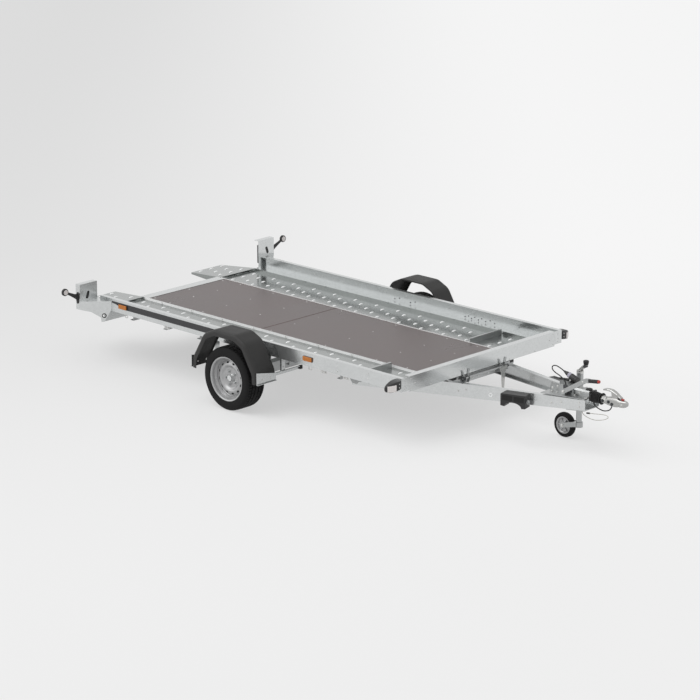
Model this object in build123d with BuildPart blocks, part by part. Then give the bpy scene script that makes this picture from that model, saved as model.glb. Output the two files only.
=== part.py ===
"""Single-axle tilting car trailer: hinged drawbar, low deck with two wheel tracks, ramp flaps and plywood floor.

Millimetres. +X points to the coupling, +Y to the left, +Z up; z = 0 is the ground under the wheels, and the
origin is under the middle of the whole trailer. Names ending in _x are stations measured forward of the axle.
Pieces that come in pairs are drawn on the right-hand side, at negative y, and mirrored.
"""
from build123d import *
from math import atan2, cos, degrees, hypot, radians, sin, tan
import os

# overall reach ahead of and behind the axle
nose_x = 3135.0
ramp_tip_x = -2165.0

# clearances
seat_gap = 0.3
running_gap = 6.0

# side rails: C section with a turned-down lip on top and a wide ledge below
deck_half_width = 950.0
deck_top_z = 572.0
rail_height = 109.0
rail_flange = 38.0
rail_lip = 9.0
rail_ledge = 88.0
rail_sheet = 3.0
rail_rear_x = -1784.0
rail_front_x = 1694.0
rail_post = 28.0
slot_length = 40.0
slot_width = 12.0
slot_rise = 14.0
slot_stations = (-1480.0, -583.0, 678.0)

# end beams
front_beam_height = 122.0
front_beam_depth = 55.0
rear_beam_height = 62.0
rear_beam_depth = 94.0
rear_beam_front_x = -1736.0
lamp_beam_depth = 40.0

# wheel tracks and floor
track_drop = 26.0
track_width = 412.0
track_sheet = 2.5
track_flange = 33.0
track_rear_lip = 7.0
floor_rise = 15.0
plywood = 12.0
plywood_gap = 3.0
plywood_seam_x = -362.0
runner_width = 40.0

# cross members under the floor
cross_member_height = 50.0
cross_member_width = 40.0
cross_member_sheet = 4.0
first_member_x = -1500.0
second_member_x = -1090.0
third_member_x = -680.0
fourth_member_x = -270.0
fifth_member_x = 360.0
pivot_member_x = 930.0
front_tie_x = 1260.0
front_tie_height = 20.0

# ramp flaps
flap_hinge_x = -1797.0
flap_hinge_rise = 18.0
flap_fall = 22.0
flap_sheet = 3.0
flap_wall = 62.0
flap_tip_wall = 16.0
flap_taper = 78.0
hinge_diameter = 18.0
hinge_drop = 2.0
hinge_eye = 60.0

# wheels
tyre_diameter = 525.0
tyre_width = 195.0
wheel_gap = 45.0
tyre_shoulder = 15.0
tyre_bulge = 44.0
rim_flange_diameter = 365.0
rim_sheet = 4.0
rim_lip = 8.0
bead_inset = 9.0
disc_depth = 62.0
disc_rise = 17.0
disc_edge_diameter = 300.0
crown_diameter = 218.0
hub_face_diameter = 168.0
hub_bore = 66.0

# hubs, axle and swing arms
drum_diameter = 230.0
cap_diameter = 56.0
cap_length = 22.0
stub_diameter = 40.0
axle_tube = 80.0
axle_wall = 6.0
axle_lead = 150.0
axle_plate_inset = 38.5
axle_plate = 8.0
axle_plate_length = 160.0
axle_plate_overhang = 10.0
swing_drop = 66.0
swing_width = 34.0
swing_height = 56.0
swing_end_diameter = 90.0

# mudguards
mudguard_inner_gap = 50.0
mudguard_overhang = 20.0
mudguard_clearance = 131.0
mudguard_reach = 112.5
mudguard_foot_z = 294.0
mudguard_knee_z = 384.0
mudguard_knee = 6.0
mudguard_haunch_z = 602.0
mudguard_haunch = 238.0
mudguard_shoulder = 120.0
mudguard_bend = 150.0
mudguard_sheet = 5.0
mudguard_lip = 50.0
mudguard_inner_lip = 14.0
step_height = 100.0
step_inner_height = 64.0
step_sheet = 4.0
step_flange = 16.0
step_bar_y = 720.0
step_bar_height = 26.0
hanger_width = 50.0

# lamp carriers and lamps
lamp_plate_x = -1821.0
lamp_plate_top_z = 690.0
lamp_plate_overhang = 191.0
lamp_plate_flange = 50.0
lamp_sheet = 3.0
shelf_z = 548.0
skirt_lead = 184.0
skirt_edge = 74.0
skirt_foot = 180.0
skirt_hole_diameter = 25.0
skirt_hole_drop = 125.0
lamp_slot_length = 68.0
lamp_slot_width = 28.0
lamp_slot_tilt = 20.0
lamp_slot_z = 592.0
lamp_slot_set_out = 10.0
tail_lamp_depth = 26.0
tail_lamp_width = 176.0
tail_lamp_height = 168.0
tail_lamp_z = 570.0
tail_lamp_corner = 22.0
mount_width = 28.0
mount_height = 102.0
mount_depth = 9.0
mount_z = 575.0
marker_reach = 140.0
marker_z = 650.0
marker_diameter = 62.0
marker_depth = 32.0
marker_arm = 26.0
front_lamp_reach = 126.0
front_lamp_height = 66.0
front_lamp_z = 523.0
front_lamp_droop = 12.0
front_lamp_base = 80.0
front_lamp_lens = 66.0
front_lamp_sweep = 38.0
front_lamp_nose = 5.0
side_marker_length = 96.0
side_marker_height = 36.0
side_marker_depth = 14.0
rear_marker_x = -1493.0
front_marker_x = 690.0
marker_drop = 49.0

# wheel stops across the tracks
stop_x = 1140.0
stop_height = 45.0
stop_flange = 40.0
stop_sheet = 4.0
stop_inset = 12.0

# drawbar
pivot_x = 850.0
pivot_z = 322.0
pivot_pin_diameter = 24.0
pivot_boss_diameter = 48.0
pivot_plate = 8.0
pivot_plate_length = 120.0
pivot_plate_drop = 45.0
pivot_boss_inboard = 60.0
pivot_boss_outboard = 20.0
arm_tail = 50.0
arm_front_x = 2793.0
arm_front_y = 87.0
arm_beam_y = 352.0
arm_height = 111.0
arm_flange = 40.0
arm_sheet = 4.0
arm_rise = 60.5
arm_top_rise = 33.3
arm_beam_top_z = 412.0
tie_inset = 2.0
tie_depth = 48.0
tie_drop = 30.0
tie_wall = 4.0
tie_overhang = 10.0
buffer_length = 46.0
buffer_rise = 14.0

# latches between tie and front beam
latch_y = 218.0
latch_width = 52.0
latch_sheet = 5.0
latch_height = 54.0
latch_depth = 36.0
latch_eye = 24.0
latch_shaft_diameter = 14.0
finger_width = 9.0
finger_length = 66.0
finger_spread = 16.0
handle_length = 190.0
handle_top = 90.0
handle_set_in = 28.0
handle_tip = 20.0
handle_sheet = 6.0

# overrun coupling
coupling_z = 460.0
bracket_rear_x = 2424.0
bracket_front_x = 2785.0
bracket_plate = 6.0
bracket_half_width = 60.0
bracket_top_z = 513.0
housing_rear_x = 2640.0
housing_length = 165.0
housing_half_width = 38.0
housing_rise = 44.0
housing_bevel = 14.0
bellows_length = 87.0
bellows_diameter = 92.0
bellows_front_diameter = 72.0
sleeve_diameter = 62.0
ball_x = 3088.0
ball_z = 446.0
ball_diameter = 50.0
ball_clearance = 0.5
cup_wall = 7.0
head_width = 60.0
nose_width = 26.0
head_rear_x = 2945.0
head_top_z = 499.0
cup_skirt = 6.0
handle_width = 44.0
handle_thickness = 12.0
handle_lead = 15.0

# jockey wheel
jockey_x = 2520.0
jockey_y = 181.5
jockey_outer_diameter = 54.0
jockey_inner_diameter = 45.0
jockey_sleeve_bottom_z = 250.0
jockey_sleeve_top_z = 561.0
jockey_leg_bottom_z = 112.0
jockey_leg_top_z = 470.0
jockey_clamp_length = 90.0
jockey_clamp_height = 56.0
jockey_wheel_diameter = 200.0
jockey_wheel_width = 50.0
jockey_rim_diameter = 136.0
jockey_axle_diameter = 20.0
jockey_trail = 138.0
fork_arm_height = 34.0
fork_arm_sheet = 4.0
fork_bush_height = 40.0
fork_bush_wall = 9.0
fork_gap = 7.0
crank_cap = 10.0
crank_reach = 57.0
crank_rise = 53.0
crank_width = 26.0
crank_sheet = 16.0
crank_knob_diameter = 46.0
crank_knob_height = 36.0

# handbrake
brake_pivot_x = 2586.0
brake_pivot_z = 474.0
brake_offset = 14.0
brake_length = 246.0
brake_angle = 31.5
brake_width = 34.0
brake_depth = 26.0
brake_sheet = 3.0
brake_boss_diameter = 44.0
grip_length = 104.0
grip_diameter = 30.0
grip_angle = 8.0

# wheel chocks on the arms
chock_rear_x = 2130.0
chock_length = 215.0
chock_depth = 75.0
chock_height = 98.0
chock_peak = 36.0
chock_drop = 8.0
chock_wall = 6.0

# plug, its holder and the cables
cable_diameter = 9.0
rope_diameter = 5.0
plug_diameter = 52.0
plug_nose_diameter = 18.0
plug_length = 130.0
plug_fall = 51.0
plug_x = 2489.0
plug_y = 30.0
plug_z = 588.0
holder_x = 2560.0
holder_length = 30.0

axle_x = -(nose_x + ramp_tip_x) / 2
wheel_radius = tyre_diameter / 2
tyre_inner_y = deck_half_width + wheel_gap
tyre_outer_y = tyre_inner_y + tyre_width
wheel_y = (tyre_inner_y + tyre_outer_y) / 2
rail_bottom_z = deck_top_z - rail_height
ledge_y = deck_half_width - rail_ledge
track_outer_y = ledge_y
track_inner_y = track_outer_y - track_width
track_top_z = rail_bottom_z + rail_sheet - track_drop
track_under_z = track_top_z - track_sheet
plywood_top_z = track_top_z + floor_rise
plywood_under_z = plywood_top_z - plywood
track_lip_z = plywood_top_z + track_rear_lip
track_front_x = rail_front_x - front_beam_depth
beam_bottom_z = deck_top_z - front_beam_height
SIDES = (("right", -1), ("left", 1))


def at(station):
    """x in the part's frame of a station measured forward of the axle."""
    return axle_x + station


def save(piece, name):
    piece.part.label = name
    export_step(piece.part, f"parts/{name}.step")


def both_sides(right_piece, name):
    """Writes the right-hand piece and its mirror image on the left."""
    save(right_piece, f"{name}_right")
    with BuildPart() as left_piece:
        add(mirror(right_piece.part, about=Plane.XZ))
    save(left_piece, f"{name}_left")


def twin(right_piece, name):
    """Writes the right-hand piece and its mirror image as one node."""
    with BuildPart() as pair:
        add(right_piece.part)
        add(mirror(right_piece.part, about=Plane.XZ))
    save(pair, name)


def box(x0, x1, y0, y1, z0, z1, mode=Mode.ADD):
    """An upright block between two corners, its x given from the axle."""
    with Locations(((at(x0) + at(x1)) / 2, (y0 + y1) / 2, (z0 + z1) / 2)):
        Box(abs(x1 - x0), abs(y1 - y0), abs(z1 - z0), mode=mode)


def prism(plane, points, amount, mode=Mode.ADD):
    """A polygon in a plane's own coordinates, extruded along its normal."""
    with BuildSketch(plane) as outline:
        Polygon(*points, align=None)
    extrude(outline.sketch, amount=amount, mode=mode)


def side_prism(y0, y1, points, mode=Mode.ADD):
    """A side-view polygon of (station, z) points, filled from y0 to y1."""
    shifted = [(at(x), z) for x, z in points]
    prism(Plane.XZ.offset(-max(y0, y1)), shifted, abs(y1 - y0), mode)


def front_prism(x0, x1, points, mode=Mode.ADD):
    """A front-view polygon of (y, z) points, filled from station x0 to x1."""
    prism(Plane.YZ.offset(at(min(x0, x1))), points, abs(x1 - x0), mode)


def plan_prism(z0, z1, points, mode=Mode.ADD):
    """A plan-view polygon of (station, y) points, filled from z0 to z1."""
    prism(Plane.XY.offset(min(z0, z1)), [(at(x), y) for x, y in points], abs(z1 - z0), mode)


def rod(diameter, start, end, mode=Mode.ADD):
    """A round bar between two (station, y, z) points."""
    foot = Vector(at(start[0]), start[1], start[2])
    tip = Vector(at(end[0]), end[1], end[2])
    with BuildSketch(Plane(origin=foot, z_dir=tip - foot)) as section:
        Circle(diameter / 2)
    extrude(section.sketch, amount=(tip - foot).length, mode=mode)


def turned(points, x, y, z, axis=(0, 1, 0), mode=Mode.ADD):
    """A turned piece: (distance along the axis, radius) points about an axis through (station, y, z)."""
    across = (0, 0, 1) if axis[2] == 0 else (1, 0, 0)
    section_plane = Plane(origin=(at(x), y, z), x_dir=axis, z_dir=Vector(*axis).cross(Vector(*across)))
    with BuildSketch(section_plane) as section:
        Polygon(*points, align=None)
    revolve(section.sketch, axis=Axis((at(x), y, z), axis), mode=mode)


os.makedirs("parts", exist_ok=True)

# ---------------------------------------------------------------- deck frame
web_y = -deck_half_width + rail_sheet
lip_y = -deck_half_width + rail_flange
rail_end_x = rail_front_x - rail_sheet
with BuildPart() as side_rail:
    front_prism(rail_rear_x, rail_end_x, (
        (-deck_half_width, rail_bottom_z), (-deck_half_width, deck_top_z), (lip_y, deck_top_z),
        (lip_y, deck_top_z - rail_lip), (lip_y - rail_sheet, deck_top_z - rail_lip),
        (lip_y - rail_sheet, deck_top_z - rail_sheet), (web_y, deck_top_z - rail_sheet),
        (web_y, rail_bottom_z + rail_sheet), (-ledge_y, rail_bottom_z + rail_sheet), (-ledge_y, rail_bottom_z)))
    box(rail_rear_x, rail_rear_x + rail_sheet, -deck_half_width, lip_y, rail_bottom_z, deck_top_z)
    box(rail_rear_x, rail_rear_x + rail_post, lip_y - rail_sheet, lip_y, rail_bottom_z, deck_top_z)
    box(rail_end_x, rail_front_x, -deck_half_width, -ledge_y, rail_bottom_z, deck_top_z)
    for station in slot_stations:
        with BuildSketch(Plane.XZ.offset(-web_y)) as slot:
            with Locations((at(station), rail_bottom_z + rail_sheet + slot_rise)):
                SlotOverall(slot_length, slot_width)
        extrude(slot.sketch, amount=rail_sheet / 2, mode=Mode.SUBTRACT)
both_sides(side_rail, "side_rail")

beam_face_x = rail_front_x - rail_sheet
beam_end_y = ledge_y - seat_gap
with BuildPart() as front_beam:
    side_prism(-beam_end_y, beam_end_y, (
        (track_front_x, beam_bottom_z), (rail_front_x, beam_bottom_z), (rail_front_x, deck_top_z),
        (track_front_x, deck_top_z), (track_front_x, deck_top_z - rail_sheet),
        (beam_face_x, deck_top_z - rail_sheet), (beam_face_x, beam_bottom_z + rail_sheet),
        (track_front_x, beam_bottom_z + rail_sheet)))
save(front_beam, "front_beam")

rear_beam_rear_x = rear_beam_front_x - rear_beam_depth
rear_beam_bottom_z = plywood_top_z - rear_beam_height
with BuildPart() as rear_beam:
    y_end = track_inner_y - seat_gap
    side_prism(-y_end, y_end, (
        (rear_beam_rear_x, rear_beam_bottom_z), (rear_beam_rear_x, plywood_top_z + rail_sheet),
        (rear_beam_front_x, plywood_top_z + rail_sheet), (rear_beam_front_x, plywood_top_z),
        (rear_beam_rear_x + rail_sheet, plywood_top_z), (rear_beam_rear_x + rail_sheet, rear_beam_bottom_z)))
save(rear_beam, "rear_beam")


def channel(station, height, reach):
    """A C-shaped cross member, open to the rear, hung from the underside of the tracks."""
    front = station + cross_member_width / 2
    rear = station - cross_member_width / 2
    inner = front - cross_member_sheet
    side_prism(-reach, reach, (
        (rear, track_under_z), (front, track_under_z), (front, track_under_z - height),
        (rear, track_under_z - height), (rear, track_under_z - height + cross_member_sheet),
        (inner, track_under_z - height + cross_member_sheet), (inner, track_under_z - cross_member_sheet),
        (rear, track_under_z - cross_member_sheet)))


member_reach = track_outer_y - 5 * track_sheet
member_stations = (first_member_x, second_member_x, third_member_x, fourth_member_x, fifth_member_x, pivot_member_x)
with BuildPart() as cross_members:
    for station in member_stations:
        channel(station, cross_member_height, member_reach)
    channel(front_tie_x, front_tie_height, member_reach)
save(cross_members, "cross_members")


with BuildPart() as track:
    rear = rail_rear_x + rail_sheet
    front_prism(rear, track_front_x, (
        (-track_inner_y, track_under_z), (-track_inner_y, track_lip_z), (-track_inner_y - track_sheet, track_lip_z),
        (-track_inner_y - track_sheet, track_top_z), (-track_outer_y, track_top_z), (-track_outer_y, rail_bottom_z),
        (-track_outer_y - track_flange, rail_bottom_z), (-track_outer_y - track_flange, rail_bottom_z - track_sheet),
        (-track_outer_y - track_sheet, rail_bottom_z - track_sheet), (-track_outer_y - track_sheet, track_under_z)))
    box(rear, rear + track_sheet, -track_outer_y, -track_inner_y, track_top_z, track_top_z + track_rear_lip)
both_sides(track, "track")

panel_y = track_inner_y - plywood_gap / 2
panel_rear_x = rear_beam_front_x + plywood_gap / 2
with BuildPart() as floor_rear:
    box(panel_rear_x, plywood_seam_x - plywood_gap / 2, -panel_y, panel_y, plywood_under_z, plywood_top_z)
save(floor_rear, "floor_rear")
with BuildPart() as floor_front:
    box(plywood_seam_x + plywood_gap / 2, track_front_x, -panel_y, panel_y, plywood_under_z, plywood_top_z)
save(floor_front, "floor_front")

runner_y = panel_y - runner_width / 2
with BuildPart() as floor_runners:
    for y in (-runner_y, 0, runner_y):
        box(panel_rear_x, track_front_x, y - runner_width / 2, y + runner_width / 2, track_under_z, plywood_under_z)
save(floor_runners, "floor_runners")

# ---------------------------------------------------------------- ramp flaps
flap_inner_y = track_inner_y
flap_hinge_z = track_top_z + flap_hinge_rise
flap_tip_z = flap_hinge_z - flap_fall
flap_outer_y = track_outer_y + track_flange


def flap_solid(inset):
    """The flap's wedge, drawn in by an inset on every side but the open underside."""
    plan_prism(flap_tip_z - 2 * flap_wall, flap_hinge_z + flap_wall, (
        (flap_hinge_x - inset, -flap_inner_y - inset), (flap_hinge_x - inset, -flap_outer_y + inset),
        (ramp_tip_x + inset, -flap_outer_y + flap_taper + inset), (ramp_tip_x + inset, -flap_inner_y - inset)))
    side_prism(-flap_outer_y, -flap_inner_y, (
        (flap_hinge_x, flap_hinge_z - inset), (ramp_tip_x, flap_tip_z - inset),
        (ramp_tip_x, flap_tip_z - flap_tip_wall - inset), (flap_hinge_x - flap_wall / 2, flap_hinge_z - flap_wall - inset),
        (flap_hinge_x, flap_hinge_z - flap_wall - inset)), mode=Mode.INTERSECT)


with BuildPart() as flap_inside:
    flap_solid(flap_sheet)
with BuildPart() as flap_under:
    add(flap_inside.part)
    add(flap_inside.part.moved(Location((0, 0, -2 * flap_sheet))))
with BuildPart() as ramp_flap:
    flap_solid(0)
    add(flap_under.part, mode=Mode.SUBTRACT)
    eye_x = rail_rear_x + rail_sheet - seat_gap - hinge_diameter / 2
    eye_z = track_top_z - hinge_drop
    for y in (-flap_outer_y + hinge_eye, -(flap_outer_y + flap_inner_y) / 2, -flap_inner_y - hinge_eye):
        rod(hinge_diameter, (eye_x, y - hinge_eye / 2, eye_z), (eye_x, y + hinge_eye / 2, eye_z))
both_sides(ramp_flap, "ramp_flap")

# ---------------------------------------------------------------- lamp carriers and lamps
plate_in_y = deck_half_width + seat_gap
plate_out_y = deck_half_width + lamp_plate_overhang
plate_rear_x = lamp_plate_x - lamp_sheet
skirt_run = hypot(skirt_lead, lamp_plate_overhang - seat_gap)
skirt_plane = Plane(origin=(at(lamp_plate_x), -plate_out_y, 0),
                    x_dir=(skirt_lead, lamp_plate_overhang - seat_gap, 0),
                    z_dir=(lamp_plate_overhang - seat_gap, -skirt_lead, 0))
skirt_foot_z = shelf_z - skirt_foot
skirt_end = skirt_run - 1.2 * lamp_sheet
with BuildPart() as lamp_carrier:
    box(plate_rear_x, lamp_plate_x, -plate_out_y, -plate_in_y, shelf_z - lamp_sheet, lamp_plate_top_z)
    box(plate_rear_x - lamp_plate_flange, lamp_plate_x, -plate_out_y, -plate_in_y,
        lamp_plate_top_z, lamp_plate_top_z + lamp_sheet)
    box(plate_rear_x - lamp_plate_flange, lamp_plate_x, -plate_out_y, -plate_out_y + lamp_sheet,
        shelf_z - skirt_edge, lamp_plate_top_z)
    plan_prism(shelf_z - lamp_sheet, shelf_z, (
        (plate_rear_x, -plate_in_y), (plate_rear_x, -plate_out_y), (lamp_plate_x, -plate_out_y),
        (lamp_plate_x + skirt_lead, -plate_in_y)))
    prism(skirt_plane, (
        (0, shelf_z), (0, shelf_z - skirt_edge), (0.34 * skirt_run, shelf_z - 1.25 * skirt_edge),
        (0.64 * skirt_run, shelf_z - 0.78 * skirt_foot), (0.66 * skirt_run, skirt_foot_z),
        (0.75 * skirt_run, skirt_foot_z), (0.97 * skirt_run, shelf_z - 1.1 * skirt_edge),
        (skirt_end, shelf_z - 1.1 * skirt_edge), (skirt_end, shelf_z)), -lamp_sheet)
    with BuildSketch(skirt_plane) as skirt_hole:
        with Locations((0.755 * skirt_run, shelf_z - skirt_hole_drop)):
            Circle(skirt_hole_diameter / 2)
    extrude(skirt_hole.sketch, amount=-2 * lamp_sheet, mode=Mode.SUBTRACT)
    with BuildSketch(Plane.YZ.offset(at(lamp_plate_x) + lamp_sheet)) as lamp_slot:
        with Locations((-(plate_in_y + plate_out_y) / 2 - lamp_slot_set_out, lamp_slot_z)):
            SlotOverall(lamp_slot_length, lamp_slot_width, rotation=90 - lamp_slot_tilt)
    extrude(lamp_slot.sketch, amount=-3 * lamp_sheet, mode=Mode.SUBTRACT)
both_sides(lamp_carrier, "lamp_carrier")

foot_share = 0.7
lamp_beam_x = lamp_plate_x + foot_share * skirt_lead
lamp_beam_y = plate_out_y - foot_share * lamp_plate_overhang - lamp_beam_depth / 2
with BuildPart() as lamp_beam:
    rear = lamp_beam_x - lamp_beam_depth
    top = rail_bottom_z - track_sheet - seat_gap
    wall = lamp_beam_x - lamp_sheet
    side_prism(-lamp_beam_y, lamp_beam_y, (
        (rear, top), (lamp_beam_x, top), (lamp_beam_x, skirt_foot_z), (rear, skirt_foot_z),
        (rear, skirt_foot_z + lamp_sheet), (wall, skirt_foot_z + lamp_sheet), (wall, top - lamp_sheet),
        (rear, top - lamp_sheet)))
    box(rear - 1, lamp_beam_x + 1, -track_outer_y - track_sheet - 1, track_outer_y + track_sheet + 1,
        track_under_z, top + 1, mode=Mode.SUBTRACT)
save(lamp_beam, "lamp_beam")

with BuildPart() as tail_lamp:
    lamp_y = -plate_in_y - tail_lamp_width / 2
    with BuildSketch(Plane.YZ.offset(at(plate_rear_x) - tail_lamp_depth)) as lamp_face:
        with Locations((lamp_y, tail_lamp_z)):
            RectangleRounded(tail_lamp_width, tail_lamp_height, tail_lamp_corner)
    extrude(lamp_face.sketch, amount=tail_lamp_depth - seat_gap)
twin(tail_lamp, "tail_lamps")

with BuildPart() as marker_lamp:
    mount_x = plate_rear_x - lamp_plate_flange / 2
    mount_y = -plate_out_y - seat_gap
    marker_y = plate_out_y + marker_reach
    with BuildSketch(Plane.XZ.offset(-mount_y)) as mount_pad:
        with Locations((at(mount_x), mount_z)):
            SlotOverall(mount_height, mount_width, rotation=90)
    extrude(mount_pad.sketch, amount=mount_depth)
    front_prism(mount_x - marker_arm / 2, mount_x + marker_arm / 2, (
        (mount_y - mount_depth / 2, mount_z - marker_arm), (mount_y - mount_depth / 2, mount_z + marker_arm),
        (-marker_y, marker_z + marker_arm / 2), (-marker_y, marker_z - marker_arm / 2)))
    turned(((-marker_depth / 2, 0), (-marker_depth / 2, marker_diameter / 2 - 3), (marker_depth / 2, marker_diameter / 2),
            (marker_depth / 2, 0)), mount_x, -marker_y, marker_z, axis=(1, 0, 0))
twin(marker_lamp, "marker_lamps")

lamp_side_y = -deck_half_width - seat_gap
with BuildPart() as front_lamp:
    lamp_top_z = front_lamp_z + front_lamp_height / 2
    lamp_low_z = front_lamp_z - front_lamp_height / 2
    lens_in_y = lamp_side_y - front_lamp_reach + 0.84 * front_lamp_lens
    tip_y = lamp_side_y - front_lamp_reach
    plan_prism(0, 2 * lamp_top_z, (
        (rail_front_x - front_lamp_base, lamp_side_y), (rail_front_x, lamp_side_y),
        (rail_front_x + front_lamp_nose, lamp_side_y - 3 * front_lamp_nose), (rail_front_x, lens_in_y),
        (rail_front_x - front_lamp_sweep, tip_y), (rail_front_x - 1.5 * front_lamp_sweep, tip_y),
        (rail_front_x - front_lamp_base, lamp_side_y - 0.6 * front_lamp_reach)))
    front_prism(rail_front_x - front_lamp_base, rail_front_x + front_lamp_nose, (
        (lamp_side_y, lamp_low_z), (lamp_side_y, lamp_top_z), (lens_in_y, lamp_top_z),
        (tip_y + front_lamp_height / 3, lamp_top_z - front_lamp_droop / 2),
        (tip_y, lamp_top_z - front_lamp_height / 2), (tip_y, lamp_low_z),
        (tip_y + front_lamp_height / 3, lamp_low_z - front_lamp_droop), (lens_in_y, lamp_low_z - front_lamp_droop)),
        mode=Mode.INTERSECT)
twin(front_lamp, "front_lamps")

with BuildPart() as side_marker:
    for station in (rear_marker_x, front_marker_x):
        marker_top = deck_top_z - marker_drop + side_marker_height / 2
        box(station - side_marker_length / 2, station + side_marker_length / 2, lamp_side_y - side_marker_depth,
            lamp_side_y, marker_top - side_marker_height, marker_top)
twin(side_marker, "side_markers")

with BuildPart() as wheel_stop:
    outer = -track_outer_y + stop_inset
    inner = -track_inner_y - track_sheet - stop_inset
    box(stop_x - stop_sheet, stop_x, outer, inner, track_top_z, track_top_z + stop_height)
    box(stop_x - stop_flange, stop_x, outer, inner, track_top_z, track_top_z + stop_sheet)
    box(stop_x - stop_flange / 2, stop_x, outer, inner, track_top_z + stop_height - stop_sheet,
        track_top_z + stop_height)
twin(wheel_stop, "wheel_stops")

# ---------------------------------------------------------------- axle and swing arms
tube_z = wheel_radius + swing_drop
axle_plate_out = deck_half_width - axle_plate_inset
axle_plate_in = axle_plate_out - axle_plate
with BuildPart() as axle:
    with BuildSketch(Plane.XZ.offset(-axle_plate_in)) as tube_section:
        with Locations((at(axle_lead), tube_z)):
            Rectangle(axle_tube, axle_tube)
            Rectangle(axle_tube - 2 * axle_wall, axle_tube - 2 * axle_wall, mode=Mode.SUBTRACT)
    extrude(tube_section.sketch, amount=2 * axle_plate_in)
    for _, side in SIDES:
        box(axle_lead - axle_plate_length / 2, axle_lead + axle_plate_length / 2, side * axle_plate_in,
            side * axle_plate_out, tube_z - axle_tube / 2 - axle_plate_overhang, rail_bottom_z)
save(axle, "axle_tube")

arm_in = axle_plate_out + seat_gap
arm_out = arm_in + swing_width
hub_in = arm_out + running_gap
disc_y = tyre_outer_y - disc_depth
hub_flange_y = disc_y - rim_sheet - seat_gap
stub_end = hub_flange_y - running_gap
with BuildPart() as swing_arm:
    with BuildSketch(Plane.XZ.offset(arm_in)) as arm_side:
        with Locations((at(axle_lead), tube_z), (at(0), wheel_radius)):
            Circle(swing_end_diameter / 2)
        with Locations((at(axle_lead / 2), (tube_z + wheel_radius) / 2)):
            Rectangle(hypot(axle_lead, swing_drop), swing_height, rotation=degrees(atan2(swing_drop, axle_lead)))
    extrude(arm_side.sketch, amount=swing_width)
    rod(stub_diameter, (0, -arm_out, wheel_radius), (0, -stub_end, wheel_radius))
twin(swing_arm, "swing_arms")

# ---------------------------------------------------------------- mudguards
mudguard_inner_y = deck_half_width + mudguard_inner_gap
mudguard_outer_y = tyre_outer_y + mudguard_overhang
mudguard_top_z = tyre_diameter + mudguard_clearance
mudguard_half_length = wheel_radius + mudguard_reach


def guard_section(plane_y, inset):
    """The mudguard's arch in side view, drawn in by an inset, on the plane at y = -plane_y."""
    foot = mudguard_half_length - inset
    knee = foot - mudguard_knee
    top = mudguard_top_z - inset
    haunch = mudguard_haunch - 0.7 * inset
    haunch_z = mudguard_haunch_z - 0.7 * inset
    with BuildSketch(Plane.XZ.offset(plane_y)) as section:
        with BuildLine():
            arch = FilletPolyline(
                (at(-foot), mudguard_foot_z), (at(-knee), mudguard_knee_z), (at(-haunch), haunch_z),
                (at(-mudguard_shoulder), top), (at(mudguard_shoulder), top), (at(haunch), haunch_z),
                (at(knee), mudguard_knee_z), (at(foot), mudguard_foot_z), radius=mudguard_bend - inset)
            Line(arch @ 1, arch @ 0)
        make_face()
    return section.sketch


guard_middle = (mudguard_inner_y + mudguard_outer_y) / 2
with BuildPart() as mudguard:
    extrude(guard_section(mudguard_inner_y, 0), amount=mudguard_outer_y - mudguard_inner_y)
    extrude(guard_section(mudguard_inner_y - 1, mudguard_inner_lip), amount=guard_middle - mudguard_inner_y,
            mode=Mode.SUBTRACT)
    extrude(guard_section(guard_middle - 2, mudguard_lip), amount=mudguard_outer_y - guard_middle + 4,
            mode=Mode.SUBTRACT)
    extrude(guard_section(mudguard_inner_y + mudguard_sheet, mudguard_sheet),
            amount=mudguard_outer_y - mudguard_inner_y - 2 * mudguard_sheet, mode=Mode.SUBTRACT)
both_sides(mudguard, "mudguard")

guard_lean = mudguard_knee / (mudguard_knee_z - mudguard_foot_z)
step_face = mudguard_half_length + 2 * seat_gap
step_out_y = mudguard_outer_y - seat_gap
step_bar_top_z = mudguard_foot_z + step_inner_height
hanger_y = (deck_half_width + track_outer_y + track_flange) / 2
with BuildPart() as guard_step:
    for end in (-1, 1):
        front_prism(end * step_face, end * (step_face + step_sheet), (
            (-step_out_y, mudguard_foot_z), (-step_out_y, mudguard_foot_z + step_height),
            (-mudguard_inner_y - step_flange, step_bar_top_z), (-step_bar_y, step_bar_top_z),
            (-step_bar_y, step_bar_top_z - step_bar_height), (-mudguard_inner_y, step_bar_top_z - step_bar_height),
            (-mudguard_inner_y, mudguard_foot_z)))
        box(end * step_face, end * (step_face + step_flange), -mudguard_inner_y, -step_bar_y,
            step_bar_top_z - step_sheet, step_bar_top_z)
        box(end * step_face, end * (step_face + step_flange), -step_out_y, -mudguard_inner_y,
            mudguard_foot_z, mudguard_foot_z + step_sheet)
        box(end * step_face, end * (step_face + step_sheet), -hanger_y - hanger_width / 2,
            -hanger_y + hanger_width / 2, step_bar_top_z - step_sheet, rail_bottom_z)
        box(end * step_face, end * (step_face + step_flange), -hanger_y - hanger_width / 2,
            -hanger_y - hanger_width / 2 + step_sheet, step_bar_top_z - step_sheet, rail_bottom_z)
twin(guard_step, "mudguard_brackets")

# ---------------------------------------------------------------- wheels
bead_radius = rim_flange_diameter / 2 - rim_lip
bulge_radius = bead_radius + tyre_bulge
outboard = (0, -1, 0)
with BuildPart() as tyre:
    turned((
        (tyre_inner_y + bead_inset, bead_radius), (tyre_inner_y, bulge_radius),
        (tyre_inner_y + tyre_shoulder, wheel_radius), (tyre_outer_y - tyre_shoulder, wheel_radius),
        (tyre_outer_y, bulge_radius), (tyre_outer_y - bead_inset, bead_radius)), 0, 0, wheel_radius, axis=outboard)
both_sides(tyre, "tyre")

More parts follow.
